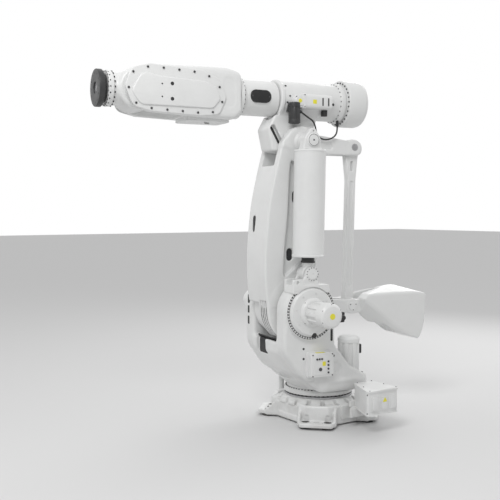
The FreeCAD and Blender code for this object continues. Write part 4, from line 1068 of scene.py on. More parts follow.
@dataclass
class Base:
    """The low casting on its four feet, the fixed ring and the connection box."""

    shop: Shop
    half_x: float = 424.0
    half_y: float = 373.0
    corner_cut: float = 150.0
    top: float = 195.0
    ring_bottom: float = 235.0
    ring_top: float = 262.7
    ring_r: float = 311.0
    foot_x: float = 369.0
    foot_y: float = 316.0
    foot_half: float = 104.0
    hole_r: float = 19.0
    foot_top: float = 58.0
    pad: float = 22.0
    pockets: int = 18

    def body_loop(self, grow: float) -> Array:
        """The eight-sided outline of the body."""
        x, y, c = self.half_x + grow, self.half_y + grow, self.corner_cut
        return outline([(x, y - c, 30), (x - c, y, 30), (-x + c, y, 30), (-x, y - c, 30),
                        (-x, -y + c, 30), (-x + c, -y, 30), (x - c, -y, 30), (x, -y + c, 30)])

    def foot(self, sx: float, sy: float) -> Tuple[Field, Field]:
        """One foot and the holes through it, for one quarter of the base."""
        centre = np.array([sx * self.foot_x, sy * self.foot_y])
        out = np.array([sx, sy]) / math.sqrt(2.0)
        side = np.array([-sx, sy]) / math.sqrt(2.0)

        def at(o: float, t: float, r: float) -> Corner:
            """A corner given by how far out and how far sideways it is."""
            p = centre + out * o + side * t
            return (p[0], p[1], r)
        foot = slab(Along.Z, outline([at(100, 150, 26), at(100, -150, 26), at(-10, -178, 10),
                                      at(-190, -178, 0), at(-190, 178, 0), at(-10, 178, 10)]),
                    self.pad, self.foot_top, 7.0)
        ribs = []
        for t in (-165.0, 165.0):
            a, b = centre + side * t + out * 4, centre + side * t - out * 120
            for share in (0.0, 0.25, 0.5, 0.75, 1.0):
                p = a + (b - a) * share
                ribs.append(bar((p[0], p[1], 30.0), (p[0], p[1], 62.0 + 118.0 * share), 15.0))
        rib = joined(26.0, *ribs)
        holes = []
        for t in (-self.foot_half, self.foot_half):
            p = centre + side * t
            holes.append(drum(Along.Z, p[0], p[1], self.hole_r, -10.0, 90.0, 1.0))
            holes.append(drum(Along.Z, p[0], p[1], 38.0, self.foot_top - 7, 110.0, 1.0))
        slot = slab(Along.Z, outline([at(28, 32, 9), at(28, -32, 9), at(8, -32, 9), at(8, 32, 9)]),
                    30.0, 90.0, 1.0)
        holes.append(slot)
        for t in (-58.0, 58.0):
            p = centre + side * t + out * 34
            holes.append(drum(Along.Z, p[0], p[1], 8.0, 30.0, 90.0, 1.0))
        return joined(14.0, foot, rib), joined(0.0, *holes)

    def casting(self) -> None:
        """The casting: body, sloped shoulder with pockets between ribs, four feet."""
        body = slab(Along.Z, self.body_loop(0.0), 12.0, self.top, 16.0)
        slope = common(6.0, taper(Along.Z, 0.0, 0.0,
                                  ((self.top - 30, 438.0), (self.ring_bottom, 338.0)), 5.0),
                       slab(Along.Z, self.body_loop(-10.0), 100.0, self.ring_bottom, 5.0))
        top = joined(18.0, body, slope)
        pocket = slab(Along.Z, outline([(346, -31, 9), (420, -44, 9), (420, 44, 9), (346, 31, 9)]),
                      self.top - 34, self.top + 80, 8.0)
        top = cut(10.0, top, spoked(swivelled(pocket, 180.0 / self.pockets), self.pockets))
        panel = both_sides(slab(Along.Y, oblong(-150, 150, 70, 160, 20), self.half_y - 7,
                                self.half_y + 60, 4.0))
        top = cut(6.0, top, panel)
        feet = [self.foot(sx, sy) for sx in (-1, 1) for sy in (-1, 1)]
        whole = joined(9.0, top, *(f for f, _ in feet))
        whole = cut(3.0, whole, joined(0.0, *(h for _, h in feet)))
        whole = cut(4.0, whole, drum(Along.Z, 0.0, 0.0, 205.0, 150.0, 300.0, 3.0),
                    slab(Along.Z, self.body_loop(-60.0), -20.0, 90.0, 10.0))
        self.foot_shadows()
        self.shop.cast("base_body", whole, (-560, -520, 10), (560, 520, self.ring_bottom), "base",
                       ["base_casting"], 7.5, Space.BASE)

    def foot_shadows(self) -> None:
        """Painted shade: near-black discs set in the holes and the slot of each foot, where the floor
        would otherwise light them.
        """
        z = self.foot_top - 9.0
        dark = []
        for sx in (-1, 1):
            for sy in (-1, 1):
                centre = np.array([sx * self.foot_x, sy * self.foot_y])
                side = np.array([-sx, sy]) / math.sqrt(2.0)
                out = np.array([sx, sy]) / math.sqrt(2.0)
                for o, t, r in ((0, -self.foot_half, 39), (0, self.foot_half, 39), (34, -58, 9),
                                (34, 58, 9),
                                (18, -18, 13), (18, 0, 13), (18, 18, 13)):
                    p = centre + out * o + side * t
                    dark.append(turned(Along.Z, p[0], p[1], [(z - 6, r, 0), (z + 5, r, 0.5)], 24))
        self.shop.piece("foot_hole_painted_shade", together(dark), Finish.SHADOW, "base", Space.BASE)

    def ring(self) -> None:
        """The fixed half of the slewing ring, with its screws."""
        r = self.ring_r
        ring = turned(Along.Z, 0.0, 0.0, [
            (self.ring_bottom, r + 22, 1.5), (self.ring_bottom + 14, r + 22, 2.5),
            (self.ring_bottom + 14, r - 12, 2.0), (self.ring_top, r - 12, 1.0),
            (self.ring_top, 210.0, 1.0), (self.ring_bottom, 210.0, 1.0)], 144, True)
        self.shop.piece("slewing_ring_fixed", ring, Finish.STEEL, "base", Space.BASE, ["slewing_ring"])
        heads = bolt_heads(ring_places(Along.Z, 0.0, 0.0, r + 7, self.ring_bottom + 14, 48), Along.Z,
                           8.0, 10.0)
        self.shop.piece("slewing_ring_screws", heads, Finish.SCREW, "base", Space.BASE)

    def box(self) -> None:
        """The connection box behind the base, its lid, sockets and plain patches."""
        def level(x0: float, x1: float, y0: float, y1: float, r: float) -> Array:
            """A level outline with rounded corners, its near side drawn in towards the base."""
            return outline([(x0, y0, r), (x1, y0, r), (x1, y1 - 141, r), (x0 + 24, y1, r), (x0, y1, r)])
        inner = -500.0
        body = plate(Along.Z, level(-844, inner, -247, 111, 14), 183.0, 384.0, 3.0)
        lid = plate(Along.Z, level(-850, inner, -253, 117, 16), 383.0, 401.0, 5.0)
        rim = plate(Along.Z, level(-849, inner, -252, 116, 16), 176.0, 190.0, 3.0)
        duct = plate(Along.Z, level(inner - 4, -438, -150, 20, 4), 183.0, 240.0, 6.0)
        arm = plate(Along.Z, level(inner - 60, -438, -190, 60, 6), 100.0, 184.0, 6.0)
        flange = plate(Along.X, oblong(-200, 70, 60, 184, 10),
                       -424.0, -438.0, 3.0)
        self.shop.piece("connection_box_case", together([body, lid, rim, duct, arm, flange]),
                        Finish.WHITE,
                        "base", Space.BASE, ["connection_box"])
        frames = []
        plugs = []
        for i in range(3):
            y = -183.0 + 108.0 * i
            frames.append(plate(Along.X, oblong(y - 40, y + 40, 212, 352, 8), -842.0, -849.0, 2.0))
            plugs.append(plate(Along.X, oblong(y - 31, y + 31, 222, 342, 6), -848.0, -861.0, 3.0))
        self.shop.piece("socket_covers", together(frames + plugs), Finish.WHITE, "base", Space.BASE)
        spots = [(-834.0 + 164.0 * i, y, 401.0) for i in range(3) for y in (-237.0, 84.0 - 72.0 * i)]
        side = [(-832.0, 111.0, z) for z in (200.0, 368.0)]
        self.shop.piece("lid_screws", bolt_heads(np.array(spots), Along.Z, 6.0, 4.0), Finish.SCREW,
                        "base",
                        Space.BASE)
        self.shop.piece("box_side_screws", bolt_heads(np.array(side), Along.Y, 6.0, 4.0), Finish.SCREW,
                        "base", Space.BASE)
        patch = plate(Along.X, outline([(-102, 292, 4), (-48, 292, 4), (-75, 336, 4)]), -860.0, -862.0,
                      0.5)
        card = plate(Along.X, oblong(-100, -50, 232, 280, 3),
                     -860.0, -862.0, 0.5)
        self.shop.piece("box_yellow_patch", patch, Finish.YELLOW, "base", Space.BASE)
        self.shop.piece("box_plain_patch", card, Finish.WHITE, "base", Space.BASE)

    def build(self) -> None:
        """Builds everything that stands still."""
        self.casting()
        self.ring()
        self.box()
        for n in range(1, 5):
            self.shop.keep("levelling_pads_%d" % n, Finish.GREY)
        self.shop.keep("stop_lug", Finish.WHITE)


# ------------------------------------------------------------------ the turret


@dataclass
class Turret:
    """The turning casting with its gears, motors, brake box and bracket."""

    shop: Shop
    cheek_in: float = 225.0
    cheek_out: float = 400.0
    cheek_r: float = 262.0
    deck_bottom: float = 263.0
    deck_top: float = 432.0
    swing_r: float = 486.0
    gear_r: float = 246.0
    gear_face: float = 443.0
    motor_r: float = 112.0
    motor_end: float = 800.0
    journal_r: float = 150.0
    hub_r: float = 322.0

    def table(self) -> None:
        """The round table that the casting stands on, with its row of screws."""
        z = self.deck_bottom
        body = turned(Along.Z, 0.0, 0.0, [(z, 335.0, 3), (z + 30, 335.0, 5), (z + 46, 322.0, 5),
                                          (z + 46, 311.0, 3), (z + 90, 311.0, 0)], 144)
        self.shop.piece("turning_table", body, Finish.WHITE, "turret", Space.ARM, ["turret_table"])
        heads = bolt_heads(ring_places(Along.Z, 0.0, 0.0, 317.0, z + 44, 60), Along.Z, 6.5, 8.0)
        self.shop.piece("turning_table_screws", heads, Finish.SCREW, "turret")

    def frame(self) -> None:
        """The casting: two cheeks that flow into a deck, and the saddle under the hub."""
        sx, sz, r = ARM.shoulder_x, ARM.shoulder_z, self.cheek_r
        front, back, top = sx + r, sx - r, sz + r
        cheek = slab(Along.Y, outline([
            (-300, self.deck_bottom + 52, 20), (200, self.deck_bottom + 52, 60), (440, 500, 120),
            (front, 720, 200), (front, top, 255), (back, top, 255), (back - 20, 760, 80),
            (-110, 560, 60), (-300, self.deck_top + 20, 40)]), self.cheek_in, self.cheek_out, 34.0)
        rim = drum(Along.Y, sx, sz, self.gear_r + 12, self.cheek_out - 60, self.cheek_out + 12, 10.0)
        deck = slab(Along.Z,
                    outline([(-330, -395, 70), (250, -400, 130), (250, 400, 130), (-330, 395, 70)]),
                    self.deck_bottom + 92, self.deck_top, 24.0)
        neck = taper(Along.Z, 0.0, 0.0, ((self.deck_bottom + 66, 305.0), (self.deck_top - 20, 395.0)),
                     6.0)
        saddle = slab(Along.Y, outline([(-40, self.deck_top - 20, 0), (240, self.deck_top - 90, 0),
                                        (455, 512, 100), (582, 690, 60), (588, 795, 12), (520, 795, 0),
                                        (60, 600, 0)]), -self.cheek_in - 20, self.cheek_in + 20, 12.0)
        saddle = cut(8.0, saddle, drum(Along.Y, sx, sz, self.hub_r + 40, -400, 400, 1.0))
        pocket = slab(Along.Y, outline([(546, 640, 14), (720, 640, 0), (720, 800, 0), (546, 800, 14)]),
                      -194.0, -6.0, 10.0)
        saddle = cut(14.0, saddle, pocket)
        whole = joined(46.0, both_sides(cheek), deck, neck, saddle)
        whole = joined(10.0, whole, both_sides(rim))
        flange_pad = slab(Along.Z, oblong(-300, -50, 146, 392, 34),
                          self.deck_top - 30, self.deck_top + 2, 6.0)
        whole = joined(16.0, whole, flange_pad)

        def below(x: Array, y: Array, z: Array) -> Array:
            """The room outside the swing radius, below the deck."""
            return np.maximum(self.swing_r - np.hypot(x, y), z - self.deck_top - 4)
        hub_room = drum(Along.Y, sx, sz, self.hub_r + 14, -self.cheek_in, self.cheek_in, 1.0)
        shallow = both_sides(slab(Along.Y, outline([(-40, 500, 40), (70, 500, 40), (105, 650, 50),
                                                    (20, 600, 40)]), self.cheek_out - 8, 500.0, 6.0))
        whole = cut(14.0, whole, below, shallow)
        whole = cut(6.0, whole, hub_room)
        low = (-345, -420, self.deck_bottom + 40)
        self.shop.cast("turret_casting", whole, low, (front + 6, 420, top + 6), "turret",
                       ["turret_frame"], 9.0)
        # Painted shade: near-black discs in the cheek's holes, and flat near-black plates for the slot
        # near the cheek's rear edge, the slots on the front rim and the back wall of the saddle's
        # pocket, where these openings fall into shadow.
        plugs = [(397.0, 746.0), (397.0, 654.0), (74.0, 660.0)]
        holes = together([turned(Along.Y, x, z,
                                 [(self.cheek_out - 6, 11, 0), (self.cheek_out + 1.5, 11, 1)], 20)
                          for x, z in plugs])
        slot = plate(Along.Y, oblong(86, 110, 800, 935, 10),
                     self.cheek_out - 6, self.cheek_out + 1.2, 0.5)
        rim_slots = [plate(Along.X, oblong(-352, -318, z0, z1, 9),
                           front - 8, front + 1.2, 0.5) for z0,
                     z1 in ((1010, 1082), (1106, 1190), (900, 980))]
        wall = plate(Along.X, oblong(-188, -12, 648, 792, 20),
                     520.0, 548.0, 2.0)
        dark = together([holes, holes.mirrored(), slot, slot.mirrored(), wall] + rim_slots)
        self.shop.piece("cheek_hole_painted_shade", dark, Finish.SHADOW, "turret")
        # Painted shade: a near-black curved plate in the gap between the lower arm's hub and the
        # saddle, where shade falls.
        turn = np.radians(np.linspace(-66.0, -52.0, 12))
        arc = np.vstack([np.stack([sx + (self.hub_r + 18) * np.cos(turn),
                                   sz + (self.hub_r + 18) * np.sin(turn)], 1),
                         np.stack([sx + (self.hub_r + 30) * np.cos(turn[::-1]),
                                   sz + (self.hub_r + 30) * np.sin(turn[::-1])], 1)])
        self.shop.piece("hub_gap_painted_shade", plate(Along.Y, arc, -self.cheek_in - 4, self.cheek_in + 4, 1.0),
                        Finish.SHADOW, "turret")

    def gear(self, side: Side) -> None:
        """A reduction gear: bolted ring, raised face and the journal inside."""
        x, z, y = ARM.shoulder_x, ARM.shoulder_z, self.cheek_out
        face, rim = self.gear_face, self.gear_r + 10
        body = turned(Along.Y, x, z, [
            (112.0, self.journal_r, 2), (231.0, self.journal_r, 2), (231.0, 170.0, 1),
                                      (y - 4, 170.0, 0),
            (y - 4, rim, 0), (face - 10, rim, 5), (face - 10, rim - 3, 1), (face - 16, rim - 4, 1),
            (face - 16, rim - 28, 1), (face - 4, rim - 29, 3), (face, rim - 36, 5),
                                      (face + 18, rim - 48, 14),
            (face + 22, 120.0, 4)], 120)
        # Painted shade: a near-black ring at the floor of the screw groove, so the gaps between the
        # white screw heads read dark.
        groove_shade = turned(Along.Y, x, z, [(face - 17, rim - 4.5, 0), (face - 14, rim - 4.5, 0.5),
                                       (face - 14, rim - 27.5, 0.5), (face - 17, rim - 27.5, 0)], 96,
                       True)
        heads = bolt_heads(ring_places(Along.Y, x, z, rim - 16, face - 15, 56), Along.Y, 8.6, 10.0, 1.0,
                           10)
        small = bolt_heads(ring_places(Along.Y, x, z, 176.0, face + 21, 8, 10.0, 370.0), Along.Y, 7.0,
                           5.0)
        screws = together([heads, small])
        if side is Side.FAR:
            body, screws, groove_shade = body.mirrored(), screws.mirrored(), groove_shade.mirrored()
        node = "gear_unit_2" if side is Side.NEAR else "gear_unit_3"
        self.shop.piece(node + "_case", body, Finish.WHITE, "turret", Space.ARM, [node])
        self.shop.piece(node + "_screws", screws, Finish.WHITE, "turret")
        self.shop.piece(node + "_groove_painted_shade", groove_shade, Finish.SHADOW, "turret")

    def motor(self, side: Side) -> None:
        """A shoulder motor: flange, finned case, cap with its patch, and the connector."""
        x, z, r = ARM.shoulder_x, ARM.shoulder_z, self.motor_r
        y = self.gear_face + 22
        flange = turned(Along.Y, x, z,
                        [(y - 4, 136, 0), (y + 10, 136, 8), (y + 34, 118, 10), (y + 40, 90, 0)], 72)
        case = finned(Along.Y, x, z, r - 4, 17.0, y + 26, self.motor_end - 120, 9)
        cap = turned(Along.Y, x, z, [(self.motor_end - 128, r - 8, 0), (self.motor_end - 122, r, 3),
                                     (self.motor_end - 90, r, 3), (self.motor_end - 87, r - 2, 1),
                                     (self.motor_end - 84, r, 3), (self.motor_end - 26, r, 12),
                                     (self.motor_end - 6, r - 24, 10), (self.motor_end - 2, 56.0, 4)],
                     72)
        shapes = [flange, case, cap]
        screws = together([
            bolt_heads(ring_places(Along.Y, x, z, 127.0, y + 9, 4, 45.0, 405.0), Along.Y, 8.0, 8.0),
            bolt_heads(ring_places(Along.Y, x, z, r - 10, self.motor_end - 22, 6, 30.0, 390.0), Along.Y,
                       6.0,
                       4.0)])
        ridge = turned(Along.Y, x - 104, z - 20, [(y + 40, 34, 4), (self.motor_end - 84, 34, 8)], 32)
        shapes.append(ridge)
        plug = together([
            turned(Along.Y, x - 128, z - 20,
                   [(self.motor_end - 90, 30, 3), (self.motor_end - 52, 30, 4),
                                              (self.motor_end - 50, 22, 2),
                                              (self.motor_end - 20, 22, 5)], 28),
            plate(Along.Y, oblong(x - 168, x - 120, z - 66, z + 26, 12), self.motor_end - 118,
                  self.motor_end - 66, 8.0)])
        patch = turned(Along.Y, x, z, [(self.motor_end - 3, 27, 0), (self.motor_end - 0.8, 27, 0.5)],
                       32)
        seal = turned(Along.Y, x - 18, z - 212,
                      [(self.gear_face - 2, 24, 0), (self.gear_face + 22, 24, 6)], 28)
        body = together(shapes)
        black = together([plug, seal])
        if side is Side.FAR:
            body, black, patch = (s.mirrored() for s in (body, black, patch))
            screws = screws.mirrored()
        node = "motor_2" if side is Side.NEAR else "motor_3"
        self.shop.piece(node + "_body", body, Finish.WHITE, "turret", Space.ARM, [node])
        self.shop.piece(node + "_connector", black, Finish.BLACK, "turret")
        self.shop.piece(node + "_screws", screws, Finish.SCREW, "turret")
        self.shop.piece(node + "_patch", patch, Finish.YELLOW, "turret")

    def upright_motor(self) -> None:
        """The motor of axis 1 on its square flange."""
        x, y, z = -175.0, 268.0, self.deck_top
        flange = plate(Along.Z, oblong(x - 118, x + 118, y - 116, y + 116, 30), z - 6, z + 30, 6.0)
        case = finned(Along.Z, x, y, 103.0, 12.0, z + 26, 762.0, 8)
        cap = turned(Along.Z, x, y, [(752.0, 100.0, 2), (758.0, 105.0, 3), (792.0, 105.0, 12),
                                     (812.0, 84.0, 14), (816.0, 30.0, 4)], 72)
        self.shop.piece("motor_1_body", together([flange, case, cap]), Finish.WHITE, "turret",
                        Space.ARM,
                        ["motor_1"])
        corners = np.array([(x + sx * 92, y + sy * 90, z + 30) for sx in (-1, 1) for sy in (-1, 1)])
        self.shop.piece("motor_1_screws", bolt_heads(corners, Along.Z, 13.0, 13.0), Finish.SCREW,
                        "turret")
        box = plate(Along.X, oblong(y - 44, y + 44, 640, 730, 12), x - 90, x - 122, 6.0)
        self.shop.piece("motor_1_connector", box, Finish.BLACK, "turret")

    def brake_box(self) -> None:
        """The box with the brake release buttons."""
        y = self.cheek_out
        foot = plate(Along.Y, oblong(106, 372, 474, 716, 24), y - 24, y + 16, 5.0)
        box = plate(Along.Y, oblong(116, 356, 484, 708, 20), y + 12, y + 72, 9.0)
        frame_plate = plate(Along.Y, oblong(150, 322, 506, 686, 10), y + 70, y + 76, 2.0)
        self.shop.piece("brake_box_case", together([foot, box, frame_plate]), Finish.WHITE, "turret",
                        Space.ARM, ["brake_release_box"])
        places = [(298.0 - 26.0 * i,
                   655.0) for i in range(3)] + [(178.0, 628.0 - 34.0 * i) for i in range(4)]
        buttons = [turned(Along.Y, x, z, [(y + 74, 9.5, 0), (y + 82, 9.5, 1), (y + 82, 7.5, 1),
                                          (y + 86, 6.5, 2)], 20) for x, z in places]
        buttons.append(turned(Along.Y, 262.0, 560.0, [(y + 74, 17, 0), (y + 80, 17, 1), (y + 80, 12, 1),
                                                      (y + 86, 11, 3)], 28))
        self.shop.piece("brake_buttons", together(buttons), Finish.BUTTON, "turret")
        screws = np.array([(x, y + 72, z) for x in (132.0, 340.0) for z in (498.0, 694.0)])
        self.shop.piece("brake_box_screws", bolt_heads(screws, Along.Y, 6.5, 4.0), Finish.SCREW,
                        "turret")
        patches = [plate(Along.Y, oblong(206, 240, 590, 630, 5), y + 75, y + 77.5, 0.6),
                   plate(Along.Z, oblong(200, 290, y + 24, y + 58, 3), 706.0, 709.5, 0.6)]
        self.shop.piece("brake_box_patches", together(patches), Finish.YELLOW, "turret")

    def bracket(self) -> None:
        """The two lugs that hold the balancing cylinder's lower eye."""
        ex, ez, y = ARM.shoulder_x, ARM.shoulder_z + ARM.spring_eye, ARM.spring_y
        top = ARM.shoulder_z + self.cheek_r
        lug_loop = outline([(ex - 74, top - 50, 20), (ex + 150, top - 50, 20), (ex + 56, ez + 6, 40),
                            (ex - 52, ez + 6, 30)])
        lugs = [slab(Along.Y, lug_loop, y - 86, y - 52, 7.0),
                slab(Along.Y, lug_loop, y + 52, y + 86, 7.0)]
        bosses = [drum(Along.Y, ex, ez, 66.0, y - 90, y - 52, 5.0),
                  drum(Along.Y, ex, ez, 66.0, y + 52, y + 90, 5.0)]
        seat = slab(Along.Y, outline([(ex - 196, top - 90, 14), (ex + 206, top - 90, 14),
                                      (ex + 186, top - 12, 14), (ex - 176, top - 12, 14)]), y - 88,
                    y + 88, 9.0)
        pad_loop = outline([(ex + 70, top - 40, 16), (ex + 204, top - 74, 16), (ex + 196, top + 40, 22),
                            (ex + 96, top + 46, 22)])
        pads = [slab(Along.Y, pad_loop, y - 88, y - 52, 7.0),
                slab(Along.Y, pad_loop, y + 52, y + 88, 7.0)]
        whole = joined(12.0, *lugs, *bosses, seat, *pads)
        whole = cut(4.0, whole, drum(Along.Y, ex + 150, top + 14, 13.0, y + 40, y + 200, 1.0),
                    drum(Along.Y, ex, ez, 30.0, y + 84, y + 200, 1.0),
                    drum(Along.Y, ARM.shoulder_x, ARM.shoulder_z, self.cheek_r - 34, y - 200, y + 200,
                         1.0))
        self.shop.cast("spring_lugs", whole, (ex - 200, y - 96, top - 100), (ex + 210, y + 96, ez + 74),
                       "turret",
                       ["spring_bracket"], 5.0)
        pin = turned(Along.Y, ex, ez,
                     [(y - 96, 44, 3), (y + 90, 44, 0), (y + 90, 52, 2), (y + 97, 52, 4),
                                       (y + 97, 8, 1), (y + 93, 8, 0)], 40)
        self.shop.piece("spring_lower_pin", pin, Finish.WHITE, "turret")
        heads = bolt_heads(ring_places(Along.Y, ex, ez, 59.0, y + 89, 14), Along.Y, 4.5, 4.0)
        self.shop.piece("spring_lower_screws", heads, Finish.SCREW, "turret")

    def build(self) -> None:
        """Builds everything that turns about the upright axis."""
        self.table()
        self.frame()
        for side in Side:
            self.gear(side)
            self.motor(side)
        self.upright_motor()
        self.brake_box()
        self.bracket()
        self.shop.keep("stop_post", Finish.WHITE)


# ------------------------------------------------------------------ the lower arm and its helpers


@dataclass
class LowerArm:
    """The bowed casting with its recessed sides, forked top and ribbed hub."""

    shop: Shop
    half: float = 200.0
    web: float = 158.0
    fork_in: float = 125.0
    hub_r: float = 322.0
    hub_split: float = 20.0
    crank_hub_r: float = 270.0
    journal_r: float = 150.0
    front: Tuple[Tuple[float, float], ...] = (
        (505.0, 2640.0), (523.0, 2591.0), (586.0, 2351.0), (638.0, 2112.0), (670.0, 1873.0),
        (688.0, 1635.0), (690.0, 1443.0), (678.0, 1251.0), (657.0, 1110.0))
    back: Tuple[Tuple[float, float], ...] = (
        (335.0, 1110.0), (215.0, 1330.0), (200.0, 1390.0), (140.0, 1490.0), (128.0, 1640.0),
        (122.0, 2110.0), (110.0, 2492.0), (168.0, 2640.0))

    def casting(self) -> None:
        """The arm's casting."""
        ex, ez, sx, sz = ARM.elbow_x, ARM.elbow_z, ARM.shoulder_x, ARM.shoulder_z
        bow = np.vstack([curve_through(self.front, 6), np.array(self.back)])
        body = slab(Along.Y, bow, -self.half, self.half, 20.0)
        ear = drum(Along.Y, ex, ez, 148.0, -self.half - 5, self.half + 5, 16.0)
        brow = slab(Along.Y, outline([(ex - 60, ez - 100, 0), (516, 2600, 10), (498, 2668, 30),
                                      (ex + 52, ez + 134, 30), (ex - 60, ez + 60, 0)]),
                    -self.half - 5, self.half + 5, 16.0)
        hub = drum(Along.Y, sx, sz, self.hub_r, -self.half, self.half, 12.0)
        whole = joined(26.0, body, ear, brow)
        whole = joined(14.0, whole, hub)
        inner = np.vstack([curve_through([(415, 2470), (428, 2386), (438, 2201), (453, 1923),
                                          (474, 1738),
                                          (488, 1552), (493, 1441), (480, 1400)], 5),
                           outline([(300, 1400, 50), (195, 1520, 30), (182, 1640, 60), (176, 2110, 200),
                                    (168, 2440, 40), (230, 2500, 40), (300, 2000, 0)])[:-1]])
        recess = both_sides(slab(Along.Y, inner, self.web, 400.0, 14.0))
        fork = drum(Along.Y, ex, ez, 334.0, -self.fork_in, self.fork_in, 12.0)
        above = slab(Along.Y, oblong(-200, 900, ez, ez + 400, 0),
                     -self.fork_in, self.fork_in, 12.0)
        channel = slab(Along.Y,
                       outline([(0, ez - 120, 0), (0, 1540, 0), (210, 1500, 60), (520, 1480, 80),
                                         (560, 1700, 200), (500, 2120, 300), (ex + 140, ez - 240, 0),
                                         (ex, ez - 120, 0)]), -self.fork_in, self.fork_in, 26.0)
        whole = cut(20.0, whole, recess)
        whole = cut(12.0, whole, fork, above, channel)
        ports = []
        # Painted shade: near-black plates inside the arm behind each port, for the dark interior seen
        # through them.
        backs = []
        for x, z in ((352.0, 2139.0), (412.0, 1600.0), (250.0, 1900.0)):
            loop = oblong(x - 32, x + 32, z - 58, z + 58, 31)
            ports.append(slab(Along.Y, loop, -400.0, 400.0, 1.0))
            backs.append(plate(Along.Y, loop, self.web - 24, self.web - 14, 0.5))
            backs.append(backs[-1].mirrored())
        front_port = oblong(-112, -54, 1806, 1962, 28)
        ports.append(slab(Along.X, front_port, 500.0, 800.0, 1.0))
        backs.append(plate(Along.X, front_port, 640.0, 660.0, 0.5))
        self.shop.piece("arm_port_painted_shade", together(backs), Finish.SHADOW, "lower_arm")
        whole = cut(8.0, whole, *ports)
        crank_room = drum(Along.Y, sx, sz, self.crank_hub_r + 12, -self.half - 40, self.hub_split, 4.0)
        far_low = slab(Along.Y, oblong(-300, 900, 600, 1150, 0),
                       -self.half - 40, self.hub_split, 4.0)
        far_rear = slab(Along.Y, oblong(-300, sx - 143, 600, 1420, 0), -self.half - 40, self.hub_split,
                        4.0)
        whole = cut(8.0, whole, crank_room, far_low, far_rear)
        lines = (48.0, 84.0, 120.0, 156.0)
        groove = [both_sides_ring(sx, sz, self.hub_r, y, 10.0, 16.0) for y in lines]
        whole = cut(3.0, whole,
                    *(common(0.0, g, half_space((sx, 0, sz + 170), (0, 0, -1))) for g in groove))
        # Painted shade: near-black rings at the bottom of the hub's grooves.
        floors = [turned(Along.Y, sx, sz,
                         [(y - 9, 200.0, 0), (y - 9, self.hub_r - 5, 1), (y + 9, self.hub_r - 5, 1),
                                           (y + 9, 200.0, 0)], 96, True) for y in lines]
        self.shop.piece("hub_groove_painted_shade", together(floors), Finish.SHADOW, "lower_arm")
        self.shop.cast("lower_arm_body", whole, (80, -self.half - 6, sz - self.hub_r),
                       (694, self.half + 6, ez + 150),
                       "lower_arm", ["lower_arm_casting"], 8.5)

    def pins(self) -> None:
        """The elbow pin's caps and the stub that the balancing cylinder hangs from."""
        ex, ez, y0, sy = ARM.elbow_x, ARM.elbow_z, self.half + 5, ARM.spring_y
        stub = turned(Along.Y, ex, ez,
                      [(y0 - 8, 86, 0), (y0 + 10, 86, 6), (y0 + 26, 72, 8), (y0 + 30, 50, 6),
                                        (sy + 48, 46, 2), (sy + 50, 62, 3), (sy + 64, 62, 8),
                                        (sy + 66, 20, 0)], 64)
        self.shop.piece("spring_stub", stub, Finish.WHITE, "lower_arm", Space.ARM, ["spring_top_pin"])
        heads = together([turned(Along.Y, ex, ez, [(sy + 63, 9, 0), (sy + 66.5, 9, 1)], 20),
                          turned(Along.Y, ex, ez,
                                 [(sy + 62, 54, 0), (sy + 65, 54, 0.3), (sy + 65, 50, 0.3),
                                                   (sy + 62, 50, 0)], 48, True)])
        heads2 = bolt_heads(ring_places(Along.Y, ex, ez, 76.0, y0 + 9, 10), Along.Y, 6.0, 5.0)
        self.shop.piece("spring_stub_screws", together([heads, heads2]), Finish.SCREW, "lower_arm")
        cap = turned(Along.Y, ex, ez,
                     [(-y0 + 8, 92, 0), (-y0 - 12, 92, 6), (-y0 - 18, 70, 4), (-y0 - 20, 20, 0)], 64)
        self.shop.piece("elbow_far_cap", cap, Finish.WHITE, "lower_arm")
        far = bolt_heads(ring_places(Along.Y, ex, ez, 80.0, -y0 - 12, 10), Along.Y, 7.0, 6.0, -1.0)
        self.shop.piece("elbow_far_screws", far, Finish.SCREW, "lower_arm")

    def build(self) -> None:
        """Builds the lower arm."""
        self.casting()
        self.pins()
        self.shop.keep("elbow_pin", Finish.STEEL)


def both_sides_ring(x0: float, z0: float, r: float, y0: float, half: float, depth: float) -> Field:
    """A groove round a hub: where it is within depth of radius r and within half of y0."""
    def distance(x: Array, y: Array, z: Array) -> Array:
        """Distance to the groove's ring."""
        flat = np.abs(np.hypot(x - x0, z - z0) - r) - depth
        return np.maximum(flat, np.abs(y - y0) - half)
    return distance


